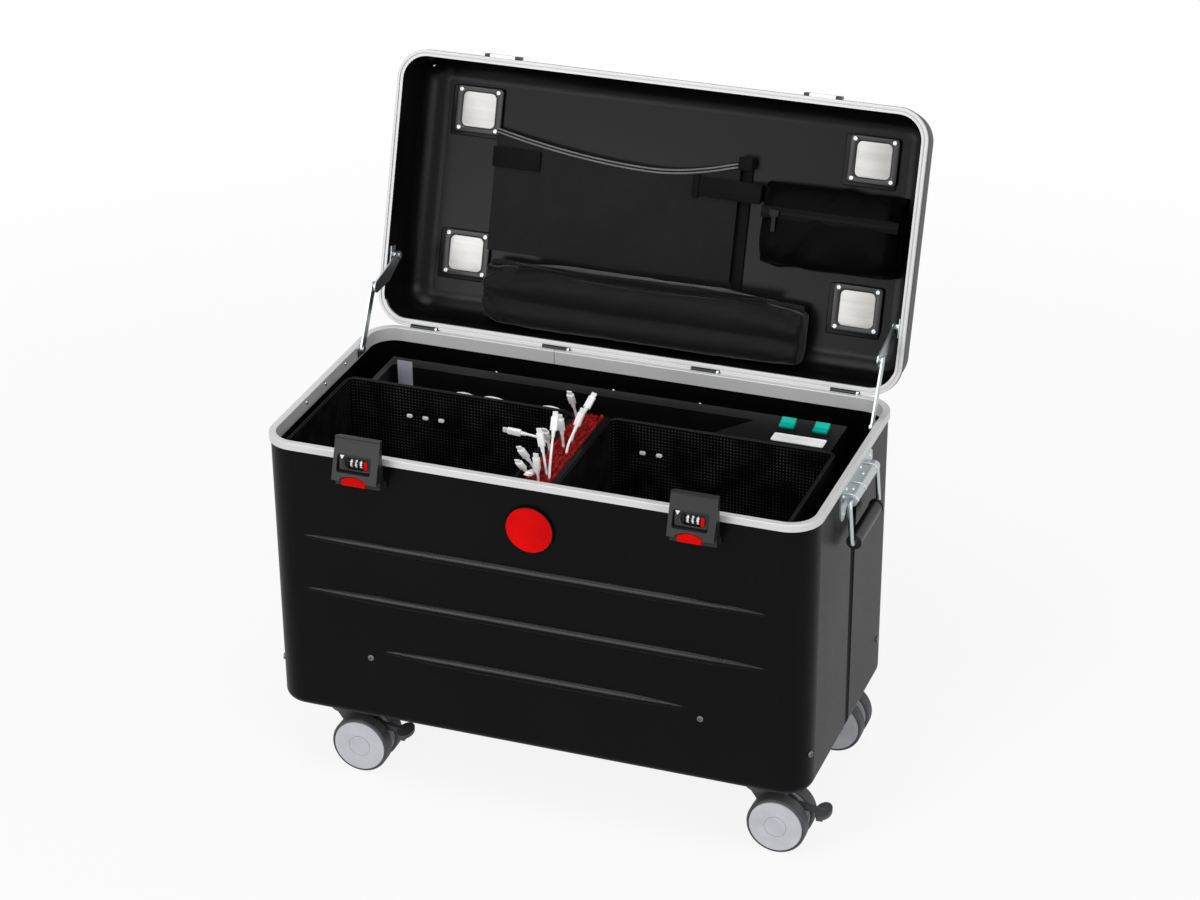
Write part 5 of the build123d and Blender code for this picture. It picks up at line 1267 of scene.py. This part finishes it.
class CART_OT_fasteners(bpy.types.Operator):
    """Fits the screws and rivets"""

    bl_idname = "cart.fasteners"
    bl_label = "Fasteners"

    # Place on the right and the way that the head points, both mirrored for the left
    LID_RIVET = ((0.326, 0.3315, -0.0646), (-0.664, -0.664, 0.342))
    FRONT_SCREW = ((0.214, -0.1744, 0.188), (0, -1, 0))
    END_SCREW = ((0.3461, 0.133, 0.153), (1, 0, 0))
    CORNER_SCREW = ((0.3441, -0.150, 0.151), (0.956, -0.292, 0))
    # Rivets inside the rim: along the rear wall and the left one
    REAR_X, REAR_Y, REAR_Z = (-0.181, -0.021, 0.095), 0.1732, 0.425
    LEFT_X, LEFT_Y, LEFT_Z = -0.3408, (0.061, 0.0, -0.056), 0.463

    def execute(self, context):
        sizes = context.scene.cart_sizes
        domes = [LID @ self.on_side(sign, *self.LID_RIVET) for _, sign in SIDES]
        outer = [self.on_side(sign, *self.FRONT_SCREW) for _, sign in SIDES]
        for _, sign in SIDES:
            outer += [self.on_side(sign, *self.END_SCREW), self.on_side(sign, *self.CORNER_SCREW)]
        inner = [self.seat((x, self.REAR_Y, self.REAR_Z), (0, -1, 0)) for x in self.REAR_X]
        inner += [self.seat((self.LEFT_X, y, self.LEFT_Z), (1, 0, 0)) for y in self.LEFT_Y]
        rivets = copies(self.model_rivet(sizes.rivet), domes, "lid_rivets")
        dress(rivets, FINISHES["steel"], "lid", "zinc")
        rivets = copies(self.model_rivet(sizes.rivet * 0.8), inner, "rim_rivets")
        dress(rivets, FINISHES["steel"], "case", "zinc")
        screws = copies(self.model_screw(sizes.case_screw), outer, "case_screws")
        dress(screws, FINISHES["screw"], "case", "zinc")
        return {"FINISHED"}

    @staticmethod
    def seat(place, way):
        """A place for a fastener whose head points a given way."""
        return Matrix.Translation(place) @ turned_to(way)

    def on_side(self, sign, place, way):
        """A seat on the right, or its mirror image on the left."""
        return self.seat((sign * place[0], *place[1:]), (sign * way[0], *way[1:]))

    @staticmethod
    def model_screw(radius):
        """Pan head with a cross recess, standing on its seat."""
        head = begin(
            "screw", bpy.ops.mesh.primitive_cylinder_add, vertices=24, radius=radius, depth=radius * 0.5,
            location=(0, 0, radius * 0.25),
        )
        with edit(head):
            pick(head, "EDGE", lambda edge: level(edge, radius * 0.5))
            bpy.ops.mesh.bevel(offset=radius * 0.3, segments=4, affect="EDGES")
        for turn in (0.0, math.pi / 2):
            blade = begin(
                "blade", bpy.ops.mesh.primitive_cube_add, size=1, rotation=(0, 0, turn),
                location=(0, 0, radius * 0.45), scale=(radius * 1.15, radius * 0.26, radius * 0.4),
            )
            modify(head, "BOOLEAN", object=blade, operation="DIFFERENCE", solver="EXACT")
            discard(blade)
        return smooth(head)

    @staticmethod
    def model_rivet(radius):
        """Low dome on a thin flange, standing on its seat."""
        dome = begin("rivet", bpy.ops.mesh.primitive_uv_sphere_add, segments=20, ring_count=12, radius=radius)
        with edit(dome):
            bpy.ops.mesh.bisect(plane_co=(0, 0, 0), plane_no=(0, 0, -1), clear_outer=True)
            bpy.ops.mesh.select_all(action="SELECT")
            bpy.ops.transform.resize(value=(1, 1, 0.62), center_override=(0, 0, 0))
            pick(dome, "EDGE", lambda edge: edge.is_boundary)
            bpy.ops.mesh.extrude_region_move(TRANSFORM_OT_translate={"value": (0, 0, 0)})
            bpy.ops.transform.resize(value=(1.25, 1.25, 1), center_override=(0, 0, 0))
            bpy.ops.mesh.extrude_region_move(TRANSFORM_OT_translate={"value": (0, 0, -0.0006)})
        return smooth(dome)


class CART_OT_pads(bpy.types.Operator):
    """Fits the lid's four corner pads: base, frame with a window, plate and screws"""

    bl_idname = "cart.pads"
    bl_label = "Corner pads"

    # Places in the lid's own frame, heights of the pad's layers, and half sizes seen from the front
    PLACES = ((-0.265, 0.093), (0.265, 0.093), (-0.265, 0.281), (0.265, 0.281))
    BACK, STEP, FACE, SUNK = -0.0852, -0.0826, -0.0790, 0.0004
    BASE, BASE_SHIFT = (0.0350, 0.0325), (-0.0035, -0.0030)
    RIM, WINDOW, PLATE = (0.0322, 0.0302), (0.0230, 0.0228), (0.0229, 0.0227)
    SCREW = (0.0255, 0.0248)

    def execute(self, context):
        base = self.tile("pad_base", self.BASE, self.BACK, self.STEP, 0.003, self.BASE_SHIFT)
        rim = self.tile("pad_frame", self.RIM, self.STEP - self.SUNK, self.FACE, 0.0045)
        window = self.tile("window", self.WINDOW, self.BACK, self.FACE + 0.002, 0.0072)
        modify(rim, "BOOLEAN", object=window, operation="DIFFERENCE", solver="EXACT")
        discard(window)
        plate = self.tile("pad_plate", self.PLATE, self.STEP - self.SUNK, self.FACE - 0.0014, 0.0070)
        layers = ((base, "plastic", 0.0010), (rim, "frame", 0.0016), (plate, "pad", 0.0005))
        for part, finish, width in layers:
            modify(part, "BEVEL", width=width, segments=3, limit_method="ANGLE", angle_limit=math.radians(50))
            part.data.materials.append(FINISHES[finish])
            smooth(part)
        places = [LID @ Matrix.Translation((x, s, 0.0)) for x, s in self.PLACES]
        rims = copies(join("pad", [base, rim]), places, "corner_pad_frames")
        hand_over(rims, "lid", "black_plastic", "pad_frames")
        hand_over(copies(plate, places, "corner_pad_plates"), "lid", "pad_metal", "pad_plates")
        x, y = self.SCREW
        corners = [
            place @ Matrix.Translation((a * x, b * y, self.FACE))
            for place in places for a in (-1, 1) for b in (-1, 1)
        ]
        screw = CART_OT_fasteners.model_screw(context.scene.cart_sizes.screw * 1.25)
        dress(copies(screw, corners, "pad_screws"), FINISHES["zinc"], "lid", "zinc")
        return {"FINISHED"}

    @staticmethod
    def tile(name, half, low, high, corner, middle=(0.0, 0.0)):
        """A flat block with rounded corners."""
        x, y = middle
        made = block(name, (x - half[0], y - half[1], low), (x + half[0], y + half[1], high))
        with edit(made):
            pick(made, "EDGE", upright)
            bpy.ops.mesh.bevel(offset=corner, segments=6, affect="EDGES")
        return made


class CART_OT_hinges(bpy.types.Operator):
    """Fits a bright cap on the right end of each hinge"""

    bl_idname = "cart.hinges"
    bl_label = "Hinge caps"

    RADIUS, LENGTH, FROM_MIDDLE = 0.0028, 0.0036, 0.0165

    def execute(self, context):
        cap = begin(
            "cap", bpy.ops.mesh.primitive_cylinder_add, vertices=24, radius=self.RADIUS, depth=self.LENGTH
        )
        with edit(cap):
            pick(cap, "EDGE", lambda edge: level(edge, self.LENGTH / 2) or level(edge, -self.LENGTH / 2))
            bpy.ops.mesh.bevel(offset=0.0006, segments=2, affect="EDGES")
        seat = CART_OT_fasteners.seat
        places = [seat((x + self.FROM_MIDDLE, HINGE_Y, HINGE_Z), (1, 0, 0)) for x in HINGES]
        dress(copies(smooth(cap), places, "hinge_caps"), FINISHES["steel"], "case", "zinc")
        return {"FINISHED"}


class CART_OT_panel(bpy.types.Operator):
    """Fits the switch panel's bare label and the compartments' lenses"""

    bl_idname = "cart.panel"
    bl_label = "Panel fittings"

    LABEL = ((0.2215, 0.064, 0.4476), (0.288, 0.084, 0.4490))
    # Lenses: half their size, their pitch and how many a compartment has, and where their rows stand
    LENS, LENS_PITCH = (0.0039, 0.0025, 0.0012), 0.0215
    LENS_ROWS = ((-0.223, 3), (0.077, 2))
    LENS_Y, LENS_Z = 0.0372, 0.4165

    def execute(self, context):
        label = block("label_plate", *self.LABEL)
        with edit(label):
            pick(label, "EDGE", upright)
            bpy.ops.mesh.bevel(offset=0.002, segments=3, affect="EDGES")
            pick(label, "FACE", lambda face: face.normal.z > 0.9)
            bpy.ops.mesh.inset(thickness=0.0012, depth=0.0)
            bpy.ops.mesh.inset(thickness=0.0004, depth=-0.0004)
        smooth(label)
        dress(label, FINISHES["label"], "case", "white_plastic")
        self.fit_lenses()
        return {"FINISHED"}

    def fit_lenses(self):
        """Small round-ended indicator lenses in the compartments' rear walls."""
        lens = block("lens", [-half for half in self.LENS], self.LENS)
        with edit(lens):
            pick(lens, "EDGE", upright)
            bpy.ops.mesh.bevel(offset=0.0020, segments=4, affect="EDGES")
            pick(lens, "EDGE", lambda edge: level(edge, self.LENS[2]))
            bpy.ops.mesh.bevel(offset=0.0008, segments=3, affect="EDGES")
        smooth(lens)
        facing = Matrix.Rotation(math.pi / 2, 4, "X")
        spots = [
            middle + self.LENS_PITCH * (number - (count - 1) / 2)
            for middle, count in self.LENS_ROWS for number in range(count)
        ]
        places = [Matrix.Translation((x, self.LENS_Y, self.LENS_Z)) @ facing for x in spots]
        dress(copies(lens, places, "indicator_lenses"), FINISHES["label"], "case", "white_plastic")


class CART_OT_comb(bpy.types.Operator):
    """Plants the comb's bristles and lays the edging of the compartments"""

    bl_idname = "cart.comb"
    bl_label = "Comb and edging"

    # Compartments: their ends, front, rear, top and corner, and the inset and radius of each edging
    TRAYS = ((-0.328, -0.0263), (0.0223, 0.314))
    FRONT, REAR, TOP, CORNER = -0.165, 0.041, 0.4571, 0.0135
    EDGINGS = ((0.0013, 0.0012), (0.0041, 0.0009))
    # Bristles: their foot, the first of a row, the pitch in a row and of the rows, their numbers,
    # how uneven their rows are, and the seed of their lean
    BRISTLE_FOOT, BRISTLE_X = 0.4503, -0.0160
    PITCH, ROW_PITCH, IN_ROW, ROWS = 0.00168, 0.0021, 19, 97
    UNEVEN, SEED = 0.0005, 4

    def execute(self, context):
        self.plant_bristles(context.scene.cart_sizes.bristle)
        loops = []
        for low, high in self.TRAYS:
            for inset, radius in self.EDGINGS:
                loops.append(strand("edging", self.outline(low, high, inset), radius, closed=True))
        edging = join("tray_edging", loops)
        dress(edging, FINISHES["plastic"], "case", "black_plastic")
        return {"FINISHED"}

    def plant_bristles(self, length):
        """Rows of tapered bristles, leaning a little this way and that."""
        bristle = begin(
            "bristle", bpy.ops.mesh.primitive_cone_add, vertices=5, radius1=0.0006, radius2=0.0002,
            depth=length, location=(0, 0, self.BRISTLE_FOOT + length / 2),
        )
        places = []
        for step in range(self.IN_ROW):
            back, up = (step * 7) % 5 - 2, (step * 3) % 4 - 2
            place = (self.BRISTLE_X + self.PITCH * step, self.UNEVEN * back, self.UNEVEN * up)
            places.append(Matrix.Translation(place))
        row = copies(bristle, places, "comb_bristles")
        settle(row, Matrix.Translation((0.0, self.FRONT + 0.0015, 0.0)))
        modify(
            row, "ARRAY", count=self.ROWS, use_relative_offset=False, use_constant_offset=True,
            constant_offset_displace=(0.0, self.ROW_PITCH, 0.0),
        )
        noise.seed_set(self.SEED)
        for point in row.data.vertices:
            rise = max(0.0, (point.co.z - self.BRISTLE_FOOT) / length)
            across, along = round(point.co.x / self.PITCH), round(point.co.y / self.ROW_PITCH)
            stem = Vector((across * 0.9, along * 0.9, 0.0))
            lean = noise.noise_vector(stem) * 0.0012 + noise.noise_vector(stem * 0.17) * 0.0022
            point.co += Vector((lean.x, lean.y, 0.5 * lean.z)) * rise
        smooth(row, 60)
        dress(row, FINISHES["comb"], "case", "red_plastic")

    def outline(self, low, high, inset):
        """A rounded rectangle just inside a compartment's rim."""
        x0, x1, y0, y1 = low + inset, high - inset, self.FRONT + inset, self.REAR - inset
        radius = self.CORNER - inset
        corners = (
            (x1 - radius, y1 - radius), (x0 + radius, y1 - radius),
            (x0 + radius, y0 + radius), (x1 - radius, y0 + radius),
        )
        places = []
        for number, (x, y) in enumerate(corners):
            for step in range(5):
                turn = math.pi / 2 * (number + step / 4)
                places.append((x + radius * math.cos(turn), y + radius * math.sin(turn), self.TOP))
        return places


class CART_OT_locks(bpy.types.Operator):
    """Fits the locks' inner panels, their marks and the digits on the dials"""

    bl_idname = "cart.locks"
    bl_label = "Lock details"

    # The dials' axle, radius and pitch, and the digits' height and width
    AXLE_Y, AXLE_Z = -0.1936, 0.468
    RADIUS, PITCH = 0.0056, 0.0062
    DIGIT, DIGIT_STRETCH, DIGIT_PROUD = 0.0046, 1.3, 0.00006
    # Blocks round the dials: ends from the lock's middle, front and rear, foot and top
    PANEL = ((-0.0222, 0.0192), (-0.1990, -0.1958), (0.4590, 0.4788))
    SLOT = ((-0.0148, 0.0150), (-0.2030, -0.1940), (0.4614, 0.4746))
    RED_STOP = ((0.0097, 0.0142), (-0.1990, -0.1958), (0.4622, 0.4738))
    BLACK_STOP = ((-0.0140, -0.0097), (-0.1986, -0.1958), (0.4622, 0.4738))
    MARK = (-0.0186, -0.1992, 0.4760)
    TILT = math.radians(-12.0)

    def execute(self, context):
        for side, sign in SIDES:
            self.fit_panel(side, sign * LOCK_X)
            for number in (1, 2, 3):
                self.print_digits(side, number, sign * LOCK_X + (number - 2) * self.PITCH)
        return {"FINISHED"}

    def slab(self, x, spans, corner, edge, finish=None):
        """A block with rounded corners seen from the front and softened front edges."""
        (left, right), (front, rear), (foot, top) = spans
        made = block("slab", (x + left, front, foot), (x + right, rear, top))
        with edit(made):
            pick(made, "EDGE", self.runs_back)
            bpy.ops.mesh.bevel(offset=corner, segments=5, affect="EDGES")
            pick(made, "EDGE", lambda one: all(abs(point.co.y - front) < 1e-6 for point in one.verts))
            bpy.ops.mesh.bevel(offset=edge, segments=2, affect="EDGES")
        if finish:
            made.data.materials.append(FINISHES[finish])
        return smooth(made)

    @staticmethod
    def runs_back(edge):
        return abs(edge.verts[0].co.y - edge.verts[1].co.y) > 0.9 * edge.calc_length()

    def fit_panel(self, side, x):
        """A panel round the dials with a slot for them, a stop at each end and a pale corner mark."""
        panel = self.slab(x, self.PANEL, 0.0022, 0.0004, "lock")
        slot = self.slab(x, self.SLOT, 0.0062, 0.0004)
        modify(panel, "BOOLEAN", object=slot, operation="DIFFERENCE", solver="EXACT")
        discard(slot)
        red = self.slab(x, self.RED_STOP, 0.0018, 0.0005, "red")
        black = self.slab(x, self.BLACK_STOP, 0.0018, 0.0005, "plastic")
        across, front, height = self.MARK
        mark = begin(
            "corner_mark", bpy.ops.mesh.primitive_cylinder_add, vertices=3, radius=0.0034, depth=0.0006,
            location=(x + across, front, height), rotation=(-math.pi / 2, 0.0, 0.0),
        )
        with edit(mark):
            bpy.ops.mesh.bevel(offset=0.0001, segments=2, affect="EDGES")
        mark.data.materials.append(FINISHES["mark"])
        fitted = join(f"lock_panel_{side}", [panel, red, black, mark])
        middle = Vector((x, self.PANEL[1][0], self.AXLE_Z))
        tilt = Matrix.Rotation(self.TILT, 4, "X")
        settle(fitted, Matrix.Translation(middle) @ tilt @ Matrix.Translation(-middle))
        hand_over(fitted, f"lock_flap_{side}", "charcoal_plastic")

    def print_digits(self, side, number, x):
        """Ten digits round a dial, each bent to the drum."""
        digits = []
        for place in range(10):
            deselect()
            bpy.ops.object.text_add()
            text = bpy.context.object.data
            text.body = str((place + 3 * number) % 10)
            text.size = self.DIGIT
            text.align_x = "CENTER"
            text.align_y = "CENTER"
            text.extrude = self.DIGIT_PROUD
            text.offset = 0.00022
            text.resolution_u = 2
            bpy.ops.object.convert(target="MESH")
            digit = bpy.context.object
            with edit(digit):
                bpy.ops.mesh.subdivide(number_cuts=2)
            for point in digit.data.vertices:
                turn = math.radians(36.0 * place) + point.co.y / self.RADIUS
                reach = self.RADIUS + self.DIGIT_PROUD + point.co.z
                point.co = (
                    x + point.co.x * self.DIGIT_STRETCH,
                    self.AXLE_Y - reach * math.cos(turn),
                    self.AXLE_Z + reach * math.sin(turn),
                )
            digits.append(digit)
        made = join(f"dial_digits_{side}_{number}", digits)
        dress(made, FINISHES["mark"], f"number_dial_{side}_{number}", "white_plastic")


class CART_OT_handles(bpy.types.Operator):
    """Fits the beads and rivets of the handle brackets"""

    bl_idname = "cart.handles"
    bl_label = "Handle brackets"

    # Beads: their places along the bracket, their way over its barrel, and their radius
    BEADS = (-0.046, -0.014, 0.038)
    OVER_BARREL = ((0.3492, 0.4511), (0.3550, 0.4511), (0.3600, 0.4506), (0.3636, 0.4480), (0.3652, 0.4442))
    BEAD_RADIUS = 0.0013
    # Rivets: on the barrel's top, at the plate's corners and between them
    TOP_X, TOP_Y, TOP_Z = 0.3538, (-0.030, 0.012), 0.4504
    PLATE_X = 0.3500
    CORNER_Y, CORNER_Z = (-0.056, 0.056), (0.4520, 0.4290)
    BETWEEN_Y, BETWEEN_Z = (-0.044, 0.016), 0.4560

    def execute(self, context):
        sizes = context.scene.cart_sizes
        fasteners = CART_OT_fasteners
        for side, sign in SIDES:
            ways = [[(sign * x, sign * y, z) for x, z in self.OVER_BARREL] for y in self.BEADS]
            beads = join(f"bracket_beads_{side}", [strand("rib", way, self.BEAD_RADIUS) for way in ways])
            dress(beads, FINISHES["zinc"], "case", "zinc")
            seats = [Matrix.Translation((sign * self.TOP_X, sign * y, self.TOP_Z)) for y in self.TOP_Y]
            flat = [(y, z) for y in self.CORNER_Y for z in self.CORNER_Z]
            flat += [(y, self.BETWEEN_Z) for y in self.BETWEEN_Y]
            seats += [fasteners.seat((sign * self.PLATE_X, sign * y, z), (sign, 0, 0)) for y, z in flat]
            rivets = copies(fasteners.model_rivet(sizes.rivet * 0.8), seats, f"bracket_rivets_{side}")
            dress(rivets, FINISHES["steel"], "case", "zinc")
        return {"FINISHED"}


class CART_OT_finishes(bpy.types.Operator):
    """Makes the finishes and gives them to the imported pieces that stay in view"""

    bl_idname = "cart.finishes"
    bl_label = "Finishes"

    def execute(self, context):
        colours = context.scene.cart_colours
        FINISHES.update(finish_maker(colours))
        for finish, nodes in node_finishes().items():
            for node in nodes:
                self.coat(node, FINISHES[finish])
        for caster in CASTERS:
            low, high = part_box(f"wheels_{caster}")
            middle = (low + high) / 2
            wheel = wheel_finish(f"wheel_{caster}", (middle.x, middle.z), colours.disc, colours.tread)
            self.coat(f"wheels_{caster}", wheel)
        return {"FINISHED"}

    def coat(self, node, finish):
        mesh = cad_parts[node].data
        mesh.materials.clear()
        mesh.materials.append(finish)


class CART_PT_panel(bpy.types.Panel):
    """Lists the steps that dress the cart"""

    bl_idname = "CART_PT_panel"
    bl_label = "Charging Cart"
    bl_space_type = "VIEW_3D"
    bl_region_type = "UI"
    bl_category = "Charging Cart"

    def draw(self, context):
        for step in STEPS:
            self.layout.operator(step.bl_idname)
        for group in (context.scene.cart_colours, context.scene.cart_sizes, context.scene.cart_stage):
            for key in group.bl_rna.properties.keys():
                if key not in ("rna_type", "name"):
                    self.layout.prop(group, key)


STEPS = (
    CART_OT_stage,
    CART_OT_finishes,
    CART_OT_cables,
    CART_OT_bag,
    CART_OT_pouch,
    CART_OT_pocket,
    CART_OT_fasteners,
    CART_OT_pads,
    CART_OT_hinges,
    CART_OT_panel,
    CART_OT_comb,
    CART_OT_locks,
    CART_OT_handles,
)
GROUPS = {"cart_colours": CartColours, "cart_sizes": CartSizes, "cart_stage": CartStage}


def register():
    for group in GROUPS.values():
        bpy.utils.register_class(group)
    for key, group in GROUPS.items():
        setattr(bpy.types.Scene, key, bpy.props.PointerProperty(type=group))
    for step in STEPS:
        bpy.utils.register_class(step)
    bpy.utils.register_class(CART_PT_panel)


def unregister():
    bpy.utils.unregister_class(CART_PT_panel)
    for step in reversed(STEPS):
        bpy.utils.unregister_class(step)
    for key, group in reversed(GROUPS.items()):
        delattr(bpy.types.Scene, key)
        bpy.utils.unregister_class(group)


def main():
    register()
    for step in STEPS:
        group, name = step.bl_idname.split(".")
        getattr(getattr(bpy.ops, group), name)()
    deselect()


if __name__ == "__main__":
    main()
